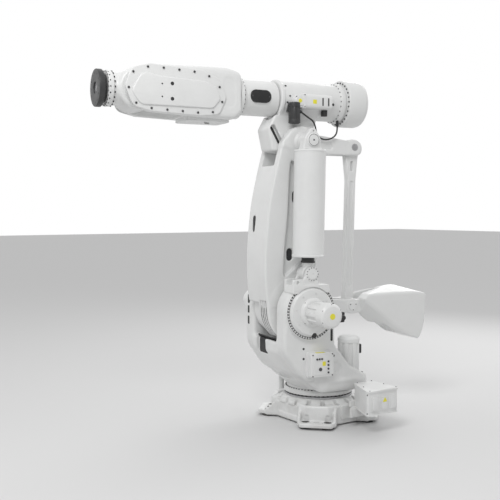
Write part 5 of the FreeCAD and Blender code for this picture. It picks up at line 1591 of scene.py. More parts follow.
@dataclass
class Spring:
    """The balancing cylinder and its rod."""

    shop: Shop
    r: float = 150.0
    bore_r: float = 112.0
    rod_r: float = 60.0

    def build(self) -> None:
        """Builds the tube, the clevis over it and the rod below it."""
        ex, ez, y = ARM.elbow_x, ARM.elbow_z, ARM.spring_y
        top, bottom, lean = ez - 90, ez - 1066, -ARM.spring_lean_deg
        tube = turned(Along.Z, ex, y, [
            (top, 96.0, 2), (top, self.r, 7), (top - 15, self.r, 3), (top - 19, self.r - 5, 2),
            (bottom + 24, self.r - 5, 2), (bottom + 20, self.r, 3), (bottom, self.r, 6),
                                       (bottom, self.bore_r, 4),
            (bottom + 30, self.bore_r, 2), (bottom + 34, self.bore_r - 12, 0),
                                       (bottom + 300, self.bore_r - 12, 0),
            (bottom + 300, 50.0, 0)], 96)
        tube = tube.tipped(ex, ez, lean)
        self.shop.piece("spring_tube", tube, Finish.WHITE, "spring_cylinder", Space.ARM,
                        ["spring_cylinder"])
        eye = drum(Along.Y, ex, ez, 80.0, y - 46, y + 46, 8.0)
        stem = slab(Along.Y,
                    outline([(ex - 74, ez + 10, 0), (ex - 100, top - 6, 4), (ex + 100, top - 6, 4),
                                      (ex + 74, ez + 10, 0)]), y - 46, y + 46, 8.0)
        foot = taper(Along.Z, ex, y, ((top + 6, 110.0), (top - 6, 134.0)), 2.0)
        head = slab(Along.Y,
                    outline([(ex - 52, ez + 30, 0), (ex + 52, ez + 30, 0), (ex + 30, ez + 108, 28),
                                      (ex - 34, ez + 108, 28)]), y - 30, y + 44, 8.0)
        bore = drum(Along.Y, ex, ez, 47.0, y - 90, y + 90, 1.0)
        oil_hole = drum(Along.Y, ex - 6, ez + 82, 10.0, y + 30, y + 90, 1.0)
        clevis = cut(4.0, joined(22.0, eye, stem, foot, head), bore, oil_hole)
        self.shop.cast("spring_clevis", tipped(clevis, ex, ez, lean), (ex - 140, y - 60, top - 8),
                       (ex + 140, y + 60, ez + 112), "spring_cylinder", (), 5.0)
        sx, sz = ARM.shoulder_x, ARM.shoulder_z + ARM.spring_eye
        eye_low = drum(Along.Y, sx, sz, 77.0, y - 42, y + 42, 7.0)
        neck = taper(Along.Z, sx, y, ((sz + 30, 40.0), (sz + 110, 56.0)), 4.0)
        low = cut(3.0, joined(20.0, eye_low, neck), drum(Along.Y, sx, sz, 30.0, y - 80, y + 80, 1.0))
        self.shop.cast("spring_eye", tipped(low, sx, sz, lean), (sx - 90, y - 50, sz - 90),
                       (sx + 90, y + 50, sz + 120),
                       "spring_rod", ["spring_rod"], 5.0)
        rod = turned(Along.Z, sx, y, [(sz + 100, 66, 3), (sz + 118, 66, 3), (sz + 118, self.rod_r, 2),
                                      (sz + 400, self.rod_r, 2), (sz + 404, self.rod_r + 20, 4),
                                      (sz + 980, self.rod_r + 20, 4)], 64).tipped(sx, sz, lean)
        self.shop.piece("spring_rod_shaft", rod, Finish.GREY, "spring_rod")


@dataclass
class ParallelArm:
    """The crank, its counterweight and the rod up to the forearm."""

    shop: Shop
    half: float = 200.0
    hub_r: float = 270.0
    journal_r: float = 150.0
    pin_r: float = 38.0

    def crank(self) -> None:
        """The crank: hub, neck and the fork at the rod's foot."""
        sx, sz, ry = ARM.shoulder_x, ARM.shoulder_z, ARM.rod_y
        end = sx - ARM.crank_length
        hub = drum(Along.Y, sx, sz, self.hub_r, -self.half, 8.0, 12.0)
        neck = slab(Along.Y,
                    outline([(end + 215, sz - 78, 0), (sx - 100, sz - 80, 0), (sx - 100, sz + 70, 0),
                                      (end + 215, sz + 68, 0)]), -160.0, -14.0, 14.0)
        fork = slab(Along.Y,
                    outline([(end - 118, sz - 68, 30), (end + 338, sz - 70, 0), (end + 338, sz + 70, 0),
                                      (end - 118, sz + 68, 30)]), -160.0, ry + 98, 14.0)
        boss = drum(Along.Y, end, sz, 74.0, -160.0, ry + 104, 8.0)
        room = slab(Along.Y, oblong(end - 260, end + 250, sz - 160, sz + 160, 0), ry - 51, ry + 51, 1.0)
        whole = cut(4.0, joined(14.0, hub, neck, fork, boss), room)
        bore = drum(Along.Y, end, sz, self.pin_r + 1, -300, 300, 1.0)
        journal = drum(Along.Y, sx, sz, self.journal_r + 2, -300, -20, 1.0)
        whole = tipped(cut(3.0, whole, bore, journal), sx, sz, -ARM.drop_deg)
        self.shop.cast("crank", whole, (end - 130, -204, sz - 280), (sx + 274, ry + 112, sz + 280),
                       "parallel_arm",
                       ["parallel_arm"], 7.5)
        cx, cz = sx - ARM.crank_back, sz - ARM.crank_down
        cap = turned(Along.Y, cx, cz, [(ry + 100, 50, 0), (ry + 112, 50, 5), (ry + 114, 12, 0)], 40)
        self.shop.piece("crank_pin_cap", cap, Finish.WHITE, "parallel_arm")
        heads = bolt_heads(ring_places(Along.Y, cx, cz, 36.0, ry + 112, 3, 30.0, 390.0), Along.Y, 5.0,
                           4.0)
        self.shop.piece("crank_pin_screws", heads, Finish.SCREW, "parallel_arm")

    def counterweight(self) -> None:
        """The faceted block behind the crank, slotted where the rod swings."""
        ry = ARM.rod_y
        cx = ARM.shoulder_x - ARM.crank_back
        block = slab(Along.Y, outline([
            (-455, 905, 12), (-655, 812, 16), (-930, 756, 24), (-1107, 700, 34), (-1252, 960, 70),
            (-1195, 1165, 60), (-840, 1270, 90), (-488, 1188, 26), (-440, 1140, 10)]), -150.0, 150.0,
                     16.0)
        top_slope = [half_space((0, 150, 1185), (0, 0.55, 1.0)),
                     half_space((0, -150, 1185), (0, -0.55, 1.0))]
        low_slope = [half_space((-760, 150, 900), (0.55, 0.9, -0.75)),
                     half_space((-760, -150, 900), (0.55, -0.9, -0.75))]
        tail = [half_space((-1180, 150, 960), (-0.9, 0.55, -0.1)),
                half_space((-1180, -150, 960), (-0.9, -0.55, -0.1))]
        slot = slab(Along.Y, oblong(cx - 345, cx + 400, 500, 1500, 0), ry - 50, ry + 50, 8.0)
        belly = slab(Along.Y,
                     outline([(-480, 760, 30), (-480, 905, 40), (-700, 880, 60), (-860, 820, 50),
                                       (-860, 700, 30)]), -95.0, 95.0, 20.0)
        whole = cut(22.0, block, *top_slope, *low_slope, *tail)
        whole = cut(12.0, whole, slot, belly)
        self.shop.cast("counterweight_block", whole, (-1256, -152, 690), (-430, 152, 1276),
                       "parallel_arm",
                       ["counterweight"], 8.0)

    def rod(self) -> None:
        """The rod, flared at its head, with an eye at each end."""
        ry, half = ARM.rod_y, ARM.rod_half_y
        cx, cz = ARM.shoulder_x - ARM.crank_back, ARM.shoulder_z - ARM.crank_down
        lx, lz = ARM.elbow_x - ARM.crank_back, ARM.elbow_z - ARM.crank_down
        foot = drum(Along.Y, cx, cz, 76.0, ry - half, ry + half, 6.0)
        head = drum(Along.Y, lx, lz, 80.0, ry - half, ry + half, 6.0)
        beam = slab(Along.Y, outline([(cx - 58, cz, 0), (cx + 58, cz, 0), (cx + 46, cz + 250, 90),
                                      (lx + 46, lz - 320, 90), (lx + 78, lz - 20, 0),
                                      (lx - 78, lz - 20, 0),
                                      (lx - 46, lz - 320, 90), (cx - 46, cz + 250, 90)]),
                    ry - half + 6, ry + half - 6, 10.0)
        recess_loop = outline([(cx - 24, cz + 190, 20), (cx + 24, cz + 190, 20),
                               (lx + 18, lz - 330, 16),
                               (lx - 18, lz - 330, 16)])
        recesses = [slab(Along.Y, recess_loop, ry + half - 18, ry + half + 60, 6.0),
                    slab(Along.Y, recess_loop, ry - half - 60, ry - half + 18, 6.0)]
        port = slab(Along.Y, oblong(lx - 17, lx + 17, lz - 232, lz - 130, 16), ry - 100, ry + 100, 1.0)
        bores = [drum(Along.Y, cx, cz, self.pin_r + 1, ry - 90, ry + 90, 1.0),
                 drum(Along.Y, lx, lz, self.pin_r + 1, ry - 90, ry + 90, 1.0)]
        whole = cut(6.0, joined(20.0, foot, head, beam), *recesses, port, *bores)
        self.shop.cast("rod_body", whole, (min(cx, lx) - 84, ry - 46, cz - 80),
                       (max(cx, lx) + 84, ry + 46, lz + 84),
                       "parallel_rod", ["parallel_rod"], 5.5)

    def build(self) -> None:
        """Builds the whole linkage."""
        self.crank()
        self.counterweight()
        self.rod()
        self.shop.keep("rod_pin", Finish.STEEL)


# ------------------------------------------------------------------ the forearm


@dataclass
class UpperArm:
    """The elbow house with its lever, the rear drum, three motors and the hanging cable."""

    shop: Shop
    tube_r: float = 162.0
    tube_start: float = 516.0
    drum_r: float = 224.0
    drum_back: float = -432.0
    drum_front: float = -212.0
    barrel_back: float = -190.0
    chest_half: float = 118.0
    pin_r: float = 60.0
    rod_pin_r: float = 38.0
    cable_r: float = 7.5
    gland_r: float = 14.0
    cable_length: float = 0.662
    cable_route: Tuple[Tuple[float, float, float], ...] = (
        (312, 196, 2925), (262, 194, 2895), (212, 176, 2874), (164, 152, 2860), (128, 134, 2822),
        (104, 112, 2776), (82, 94, 2734), (44, 87, 2704), (-14, 84, 2690), (-80, 82, 2702),
        (-130, 80, 2732), (-156, 77, 2774), (-156, 77, 2826))

    def house(self) -> None:
        """The casting at the elbow."""
        ex, ez, az = ARM.elbow_x, ARM.elbow_z, ARM.axis_z
        lx, lz, ry = ex - ARM.crank_back, ez - ARM.crank_down, ARM.rod_y
        r = self.tube_r + 14
        barrel = drum(Along.X, 0.0, az, r, self.barrel_back, self.tube_start - 6, 6.0)
        collar = joined(0.0, drum(Along.X, 0.0, az, r + 16, self.barrel_back, self.barrel_back + 52,
                                  6.0),
                        drum(Along.X, 0.0, az, r + 10, self.tube_start - 46, self.tube_start - 6, 4.0))
        chest = slab(Along.Y, outline([
            (ex - 130, ez, 0), (ex - 250, az - 90, 60), (ex - 300, az, 0),
                                       (self.tube_start - 40, az, 0),
            (self.tube_start + 40, az - 172, 40), (ex + 306, ez + 118, 40), (ex + 262, ez - 84, 30),
            (ex + 120, ez - 100, 30)]), -self.chest_half, self.chest_half, 20.0)
        boss = drum(Along.Y, ex, ez, 128.0, -self.chest_half, self.chest_half, 8.0)
        lever = slab(Along.Y, outline([
            (ex, ez + 110, 0), (ex - 180, ez + 96, 60), (lx + 100, lz + 66, 60), (lx - 90, lz + 66, 60),
            (lx - 90, lz - 80, 60), (lx + 100, lz - 80, 60), (ex - 100, ez - 100, 60),
                                       (ex, ez - 100, 0)]),
            ry - 82, ry + 82, 14.0)
        pivot = drum(Along.Y, lx, lz, 74.0, ry - 86, ry + 86, 6.0)
        pad = slab(Along.Y, oblong(20, 330, az - 84, az + 40, 20), 60.0, 136.0, 6.0)
        whole = joined(34.0, chest, barrel, boss, lever)
        whole = joined(10.0, whole, collar, pivot, pad)
        whole = cut(10.0, whole,
                    drum(Along.X, 0.0, az, r + 14, self.tube_start - 6, self.tube_start + 240, 1.0))
        slot = slab(Along.Y,
                    outline([(lx - 300, lz - 300, 0), (lx + 260, lz - 300, 0), (lx + 260, lz + 200, 40),
                                      (lx - 300, lz + 200, 0)]), ry - 50, ry + 50, 6.0)
        recess = both_sides(slab(Along.Y, outline([(ex + 190, ez - 40, 22), (ex + 290, ez + 130, 22),
                                                   (ex + 244, ez + 168, 22), (ex + 146, ez - 14, 22)]),
                                 72.0, 200.0, 6.0))
        side = both_sides(slab(Along.Y, outline([(ex - 190, ez + 150, 50), (ex + 60, ez + 165, 60),
                                                 (ex + 180, ez + 215, 40), (ex - 210, ez + 215, 30)]),
                               104.0, 300.0, 8.0))
        dish = slab(Along.Y,
                    outline([(lx + 250, lz - 36, 30), (ex - 170, ez - 48, 30), (ex - 170, ez + 44, 30),
                                      (lx + 250, lz + 26, 30)]), ry + 70, ry + 200, 8.0)
        bore = drum(Along.Y, ex, ez, self.pin_r + 1, -300.0, 300.0, 1.0)
        whole = cut(8.0, whole, recess, side, dish)
        whole = cut(4.0, whole, slot, bore)
        self.shop.cast("elbow_casting", whole, (lx - 96, -210, ez - 134), (ex + 388, 210, az + r + 18),
                       "upper_arm", ["elbow_house"], 8.0)
        pin = turned(Along.Y, lx, lz, [(ry - 88, self.rod_pin_r, 3), (ry + 88, self.rod_pin_r, 5)], 36)
        self.shop.piece("rod_top_pin", pin, Finish.STEEL, "upper_arm")
        spots = [(446.0, 128.0, az + 116), (420.0, 168.0, az + 20), (446.0, 168.0, az - 40)]
        near = bolt_heads(np.array(spots), Along.Y, 9.0, 12.0)
        # Painted shade: a near-black plate at the bottom of the slot recess on each side.
        slot = [(ex + 204, ez - 22, 14), (ex + 276, ez + 126, 14), (ex + 248, ez + 146, 14),
                (ex + 160, ez - 8, 14)]
        slot_shade = plate(Along.Y, outline(slot), 64.0, 75.0, 1.0)
        self.shop.piece("elbow_slot_painted_shade", together([slot_shade, slot_shade.mirrored()]), Finish.SHADOW,
                        "upper_arm")
        ring = bolt_heads(ring_places(Along.X, 0.0, az, r + 2, self.barrel_back + 52, 24), Along.X, 7.0,
                          7.0)
        self.shop.piece("elbow_screws", together([near, near.mirrored(), ring]), Finish.SCREW,
                        "upper_arm")

    def drum(self) -> None:
        """The drum behind the elbow house with its screws and rear cover."""
        az, r, f, b = ARM.axis_z, self.drum_r, self.drum_front, self.drum_back
        body = turned(Along.X, 0.0, az, [
            (self.barrel_back, 176.0, 1), (f, 176.0, 3), (f, r, 5), (b + 40, r, 6), (b + 30, r - 8, 3),
            (b + 10, r - 8, 6), (b + 4, r - 60, 6), (b + 4, 96.0, 3), (b, 90.0, 4)], 128)
        self.shop.piece("rear_drum_case", body, Finish.WHITE, "upper_arm", Space.ARM, ["rear_drum"])
        front = bolt_heads(ring_places(Along.X, 0.0, az, 201.0, f, 28), Along.X, 8.0, 8.0)
        back = bolt_heads(ring_places(Along.X, 0.0, az, 190.0, b + 8, 16), Along.X, 8.0, 6.0, -1.0)
        hub = bolt_heads(ring_places(Along.X, 0.0, az, 70.0, b, 6), Along.X, 6.0, 4.0, -1.0)
        self.shop.piece("rear_drum_screws", together([front, back, hub]), Finish.SCREW, "upper_arm")

    def motors(self) -> None:
        """The three motors beside the elbow house."""
        az = ARM.axis_z
        zc = az - 26
        box = plate(Along.X, oblong(124, 248, zc - 66, zc + 66, 34), 4.0, 296.0, 6.0)
        flange = plate(Along.X, oblong(118, 252, zc - 72, zc + 70, 20), 292.0, 318.0, 4.0)
        tail = plate(Along.X, oblong(134, 238, zc - 56, zc + 56, 30), -8.0, 8.0, 5.0)
        cap = turned(Along.Y, 345.0, zc, [(118, 62, 0), (228, 62, 4), (228, 50, 3), (236, 44, 6)], 48)
        # Painted shade: thin near-black plates on the motor's side stand for the shade in its two
        # grooves.
        grooves = [plate(Along.Y, oblong(40.0 + 62 * i, 54.0 + 62 * i, zc - 38, zc + 38, 7),
                         247.0, 249.0, 0.6) for i in range(2)]
        self.shop.piece("near_motor_case", together([box, flange, tail, cap]), Finish.WHITE,
                        "upper_arm",
                        Space.ARM, ["motor_4"])
        self.shop.piece("near_motor_slot_painted_shade", together(grooves), Finish.SHADOW, "upper_arm")
        dots = together([turned(Along.Y, 345.0, zc, [(234, 18, 0), (238, 18, 1)], 24),
                         plate(Along.Y, oblong(176, 216, zc - 22, zc + 16, 4), 246.0, 249.5, 0.6)])
        self.shop.piece("near_motor_patches", dots, Finish.YELLOW, "upper_arm")
        plug = together([turned(Along.Y, -2.0, zc - 20, [(196, 13, 0), (250, 13, 4)], 20),
                         plate(Along.Z, oblong(16, 66, 132, 178, 8),
                               zc - 62, zc - 124, 6.0)])
        self.shop.piece("near_motor_plugs", plug, Finish.BLACK, "upper_arm")
        spots = np.array([(x, 249.0, z) for x in (305.0,) for z in (zc - 54, zc + 54)]
                         + [(345.0 + 50 * math.cos(a), 228.0, zc + 50 * math.sin(a)) for a in
                            np.radians([45.0, 135.0, 225.0, 315.0])])
        self.shop.piece("near_motor_screws", bolt_heads(spots, Along.Y, 6.0, 5.0), Finish.SCREW,
                        "upper_arm")
        hx, hy, hr = 386.0, 196.0, 56.0
        dark = together([
            finned(Along.Z, hx, hy, hr - 2, 5.0, az - 200, az - 78, 12),
            turned(Along.Z, hx, hy, [(az - 236, hr - 14, 5), (az - 230, hr, 5), (az - 196, hr, 3)], 56),
            turned(Along.Z, hx, hy, [(az - 84, hr, 3), (az - 44, hr, 6), (az - 40, hr - 16, 4)], 56),
            plate(Along.Z, oblong(340, 440, 112, 200, 10),
                  az - 120, az - 60, 5.0),
            self.gland(self.cable_route[0], self.cable_route[1], 45.0)])
        self.shop.piece("hanging_motor_case", dark, Finish.GREY, "upper_arm", Space.ARM, ["motor_5"])
        far = together([
            plate(Along.X, oblong(-262, -130, zc - 66, zc + 66, 20), -8.0, 20.0, 4.0),
            finned(Along.X, -196.0, zc, 60.0, 8.0, 16.0, 344.0, 10),
            turned(Along.X, -196.0, zc, [(338, 60, 2), (342, 63, 3), (378, 63, 10), (390, 48, 8)], 48),
            plate(Along.Y, oblong(40, 200, zc - 44, zc + 46, 12), -160.0, -112.0, 4.0)])
        self.shop.piece("far_motor_case", far, Finish.WHITE, "upper_arm", Space.ARM, ["motor_6"])
        plug2 = plate(Along.X, oblong(-232, -160, zc + 40, zc + 78, 8), 250.0, 320.0, 5.0)
        self.shop.piece("far_motor_plug", plug2, Finish.BLACK, "upper_arm")

    def gland(self, at: Sequence[float], towards: Sequence[float], length: float) -> Shape:
        """A short sleeve that holds the cable's end, from inside its housing to the cable."""
        a, b = np.array(at, float), np.array(towards, float)
        back = a - (b - a) / np.linalg.norm(b - a) * length
        return tube_along([tuple(back), tuple((back + a) / 2), tuple(a)], self.gland_r, 20, 2)

    def cable(self) -> None:
        """The cable: one smooth line through its hanging loop."""
        points = to_row(np.array(self.cable_route, float), Space.ARM)
        curve = bpy.data.curves.new("hanging_cable", "CURVE")
        curve.dimensions = "3D"
        curve.bevel_depth = self.cable_r / 1000.0
        curve.bevel_resolution = 4
        curve.resolution_u = 8
        curve.use_fill_caps = True
        line = curve.splines.new("NURBS")
        line.points.add(len(points) - 1)
        for knot, p in zip(line.points, points):
            knot.co = (p[0], p[1], p[2], 1.0)
        line.order_u = 3
        line.use_endpoint_u = True
        curve.materials.append(self.shop.paints.of[Finish.RUBBER])
        obj = bpy.data.objects.new("hanging_cable", curve)
        bpy.context.scene.collection.objects.link(obj)
        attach(obj, "upper_arm")
        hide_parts("elbow_cable")
        end = self.gland(self.cable_route[-1], self.cable_route[-2], 90.0)
        self.shop.piece("cable_gland", end, Finish.BLACK, "upper_arm")

    def build(self) -> None:
        """Builds everything that tips about the elbow."""
        self.house()
        self.drum()
        self.motors()
        self.cable()


@dataclass
class Wrist:
    """The turning tube, the forked housing, the tilting unit and the tool disc."""

    shop: Shop
    tube_r: float = 162.0
    tube_start: float = 516.0
    start: float = 950.0
    half_y: float = 232.0
    half_z: float = 238.0
    fork_depth: float = 400.0
    fork_half: float = 168.0
    nose_end: float = 79.0
    disc_r: float = 160.0
    disc_pcd: float = 250.0
    disc_holes: int = 12
    hole_r: float = 8.0

    def tube(self) -> None:
        """The turning tube and the bolted ring at its end."""
        az, s = ARM.axis_z, self.start
        body = turned(Along.X, 0.0, az, [
            (self.tube_start, self.tube_r - 8, 2), (self.tube_start + 8, self.tube_r, 3),
                                         (s - 66, self.tube_r, 3),
            (s - 60, self.tube_r + 8, 3), (s - 60, 200, 4), (s - 22, 200, 4),
                                         (s - 20, self.tube_r + 20, 0)], 128)
        self.shop.piece("forearm_tube", body, Finish.WHITE, "wrist", Space.ARM, ["wrist_tube"])
        heads = bolt_heads(ring_places(Along.X, 0.0, az, 185.0, s - 60, 28), Along.X, 8.0, 9.0, -1.0)
        self.shop.piece("forearm_tube_screws", heads, Finish.SCREW, "wrist")

    def ovals(self) -> None:
        """The two black oval covers on the tube, bent to its roundness."""
        for side in Side:
            base = self.bent_oval(610.0, 820.0, 58.0, self.tube_r + 8.0, 5.0)
            name = "oval_cover_near" if side is Side.NEAR else "oval_cover_far"
            self.shop.piece(name + "_lid", base if side is Side.NEAR else base.mirrored(), Finish.BLACK,
                            "wrist",
                            Space.ARM, [name])
            heads = bolt_heads(np.array([(630.0, 168.0, ARM.axis_z), (800.0, 168.0, ARM.axis_z)]),
                               Along.Y, 7.0,
                               4.0)
            self.shop.piece(name + "_screws", heads if side is Side.NEAR else heads.mirrored(),
                            Finish.SCREW,
                            "wrist")

    def bent_oval(self, x0: float, x1: float, half: float, y_top: float, edge: float) -> Shape:
        """A long rounded lid with a flat face and a soft rim.

        Args:
            x0: its front end along the arm.
            x1: its back end.
            half: half its height.
            y_top: how far out its face lies.
            edge: the rounding of its rim.

        Returns:
            The shape.
        """
        az = ARM.axis_z
        loop = outline([(x0, az - half, half - 2), (x1, az - half, half - 2), (x1, az + half, half - 2),
                        (x0, az + half, half - 2)], 12)
        return plate(Along.Y, loop, 144.0, y_top, edge)

    def side_loop(self) -> Array:
        """The outline of the raised cover on the side of the wrist."""
        az = ARM.axis_z
        return outline([(2022, az, 60), (1962, az + 158, 80), (1800, az + 200, 70),
                        (1480, az + 186, 40),
                        (1330, az + 178, 40), (1180, az + 126, 60), (1092, az - 40, 60),
                        (1160, az - 196, 70),
                        (1340, az - 216, 40), (1790, az - 200, 60), (1950, az - 162, 80)])

    def housing(self) -> None:
        """The long housing, rounded all over, forked at its front."""
        az, wx, s = ARM.axis_z, ARM.wrist_x, self.start
        hy, hz = self.half_y, self.half_z
        core = slab(Along.X, outline([(-hy, az - hz, 70), (hy, az - hz, 70), (hy, az + hz, 90),
                                      (-hy, az + hz, 90)]),
                    s - 20, wx + 150, 12.0)
        side = slab(Along.Y, outline([
            (s - 20, az - 150, 30), (s + 60, az - hz, 80), (wx, az - 200, 160), (wx + 150, az, 130),
            (wx, az + 200, 160), (s + 120, az + hz, 160), (s - 20, az + 180, 60)]), -hy, hy, 34.0)
        whole = common(30.0, core, side)
        gap = slab(Along.Z,
                   outline([(wx - self.fork_depth, -self.fork_half, 60), (wx + 500, -self.fork_half, 0),
                                     (wx + 500, self.fork_half, 0),
                                     (wx - self.fork_depth, self.fork_half, 60)]),
                   az - 500, az + 500, 1.0)
        waist = both_sides(slab(Along.Y, outline([(s + 50, az - 120, 60), (s + 160, az - 140, 40),
                                                  (s + 160, az + 140, 40), (s + 50, az + 130, 60)]),
                                hy - 7, hy + 90, 6.0))
        belly = slab(Along.Z, oblong(1030, 1400, -128, 128, 30),
                     az - hz - 60, az - hz + 12, 8.0)
        roof = slab(Along.Z, oblong(1150, 1470, -110, 110, 40),
                    az + hz - 8, az + hz + 60, 6.0)
        pivots = drum(Along.Y, wx, az, 74.0, -hy + 14, hy - 14, 1.0)
        whole = cut(12.0, whole, gap, waist, belly, roof)
        whole = cut(2.0, whole, pivots)
        self.shop.cast("wrist_casting", whole, (s - 22, -hy - 2, az - hz - 2),
                       (wx + 152, hy + 2, az + hz + 2),
                       "wrist", ["wrist_housing"], 8.0)

    def covers(self) -> None:
        """The raised side covers with their rims of screws, and the cover underneath."""
        az, y = ARM.axis_z, self.half_y
        loop = self.side_loop()
        inner = outline([(1972, az - 35, 60), (1872, az + 132, 90), (1716, az + 100, 60),
                         (1300, az + 86, 60),
                         (1196, az + 40, 40), (1150, az - 62, 50), (1224, az - 150, 60),
                         (1890, az - 150, 80)])
        rim = plate(Along.Y, loop, y - 16, y + 8, 7.0)
        panel = plate(Along.Y, inner, y + 4, y + 22, 12.0)
        plugs = together([turned(Along.Y, x, az + dz, [(y + 19, r, 0), (y + 24, r, 2)], 28)
                          for x, dz,
                          r in ((1608, 41, 16), (1608, -88, 16), (1699, 34, 7), (1699, -74, 7))])
        heads = bolt_heads(outline_places(Along.Y, shrunk(loop, 24.0), y + 8, 15), Along.Y, 10.0, 8.0)
        for side in Side:
            name = "side_cover_near" if side is Side.NEAR else "side_cover_far"
            parts = [together([rim, panel]), heads, plugs]
            if side is Side.FAR:
                parts = [p.mirrored() for p in parts]
            self.shop.piece(name + "_lid", parts[0], Finish.WHITE, "wrist", Space.ARM, [name])
            self.shop.piece(name + "_screws", parts[1], Finish.SCREW, "wrist")
            self.shop.piece(name + "_plugs", parts[2], Finish.SHADOW, "wrist")
        under = plate(Along.Z, oblong(1016, 1440, -146, 146, 34),
                      az - self.half_z + 60, az - self.half_z - 14, 9.0)
        fin = plate(Along.Y,
                    outline([(1180, az - self.half_z - 12, 6), (1250, az - self.half_z - 12, 6),
                                      (1238, az - self.half_z - 20, 6),
                                      (1192, az - self.half_z - 20, 6)]),
                    60.0, 72.0, 2.0)
        self.shop.piece("under_cover_lid", together([under, fin]), Finish.WHITE, "wrist", Space.ARM,
                        ["under_cover"])

    def tilt(self) -> None:
        """The tilting unit between the fork's arms, with its nose and its ring of dark screws."""
        az, wx = ARM.axis_z, ARM.wrist_x
        nose_x = ARM.flange_x - self.nose_end
        core = drum(Along.Y, wx, az, 185.0, -160.0, 160.0, 34.0)
        nose = drum(Along.X, 0.0, az, 140.0, wx, nose_x, 8.0)
        ring = drum(Along.X, 0.0, az, 152.0, nose_x - 51, nose_x, 7.0)
        pads = both_sides(drum(Along.Y, wx, az, 130.0, 120.0, 163.0, 5.0))
        pivots = drum(Along.Y, wx, az, 70.0, -self.half_y + 20, self.half_y - 20, 2.0)
        whole = joined(26.0, core, nose)
        whole = joined(5.0, whole, ring, pads, pivots)
        top = slab(Along.Y,
                   outline([(wx - 90, az + 150, 10), (wx + 60, az + 150, 10), (wx + 60, az + 260, 0),
                                     (wx - 90, az + 260, 0)]), -70.0, 70.0, 6.0)
        whole = cut(8.0, whole, top)
        self.shop.cast("tilt_casting", whole, (wx - 187, -216, az - 187), (nose_x, 216, az + 187),
                       "tilt",
                       ["tilt_unit"], 7.0)
        heads = bolt_heads(ring_places(Along.X, 0.0, az, 146.0, nose_x - 51, 20), Along.X, 8.0, 9.0,
                           -1.0)
        second = bolt_heads(ring_places(Along.X, 0.0, az, 146.0, nose_x, 24), Along.X, 8.0, 1.0)
        rim = [tube_along([(nose_x - 14, r * math.cos(a), az + r * math.sin(a)) for r in (146.0, 150.0,
                                                                                          153.2)],
                          6.5, 10, 1) for a in np.radians(np.arange(0.0, 360.0, 20.0))]
        self.shop.piece("tilt_screws", together([heads, second] + rim), Finish.SHADOW, "tilt")

    def disc(self) -> None:
        """The dark tool disc and its recess, with painted shade for its holes."""
        az, fx = ARM.axis_z, ARM.flange_x
        back = fx - self.nose_end + 0.3
        body = turned(Along.X, 0.0, az, [
            (back, 120.0, 2), (fx - 48, 120.0, 2), (fx - 48, self.disc_r, 5), (fx, self.disc_r, 6),
            (fx, 50.0, 3), (fx - 12, 50.0, 2), (fx - 12, 18.0, 1), (fx - 22, 18.0, 0)], 128)
        self.shop.piece("tool_disc", body, Finish.GREY, "disc", Space.ARM, ["turning_disc"])
        # Painted shade: near-black discs flush with the face at the holes, and short near-black bars at
        # the collar's holes.
        holes = [turned(Along.X, y, z, [(fx - 3, self.hole_r, 0), (fx + 0.4, self.hole_r, 0.3)], 16)
                 for _, y, z in ring_places(Along.X, 0.0, az, self.disc_pcd / 2, fx, self.disc_holes)]
        collar = [tube_along([(fx - 64, 112 * math.cos(a), az + 112 * math.sin(a)),
                              (fx - 64, 117 * math.cos(a), az + 117 * math.sin(a)),
                              (fx - 64, 120.6 * math.cos(a), az + 120.6 * math.sin(a))], 6.0, 12, 1)
                  for a in np.radians(np.arange(0.0, 360.0, 30.0))]
        self.shop.piece("tool_disc_hole_painted_shade", together(holes + collar), Finish.SHADOW, "disc")
        rim = turned(Along.X, 0.0, az,
                     [(fx - 14, 49.5, 0), (fx - 11.6, 49.5, 0.3), (fx - 11.6, 22.0, 0.3)], 48)
        self.shop.piece("tool_disc_bore", rim, Finish.STEEL, "disc")

    def build(self) -> None:
        """Builds the wrist."""
        self.tube()
        self.ovals()
        self.housing()
        self.covers()
        self.tilt()
        self.disc()


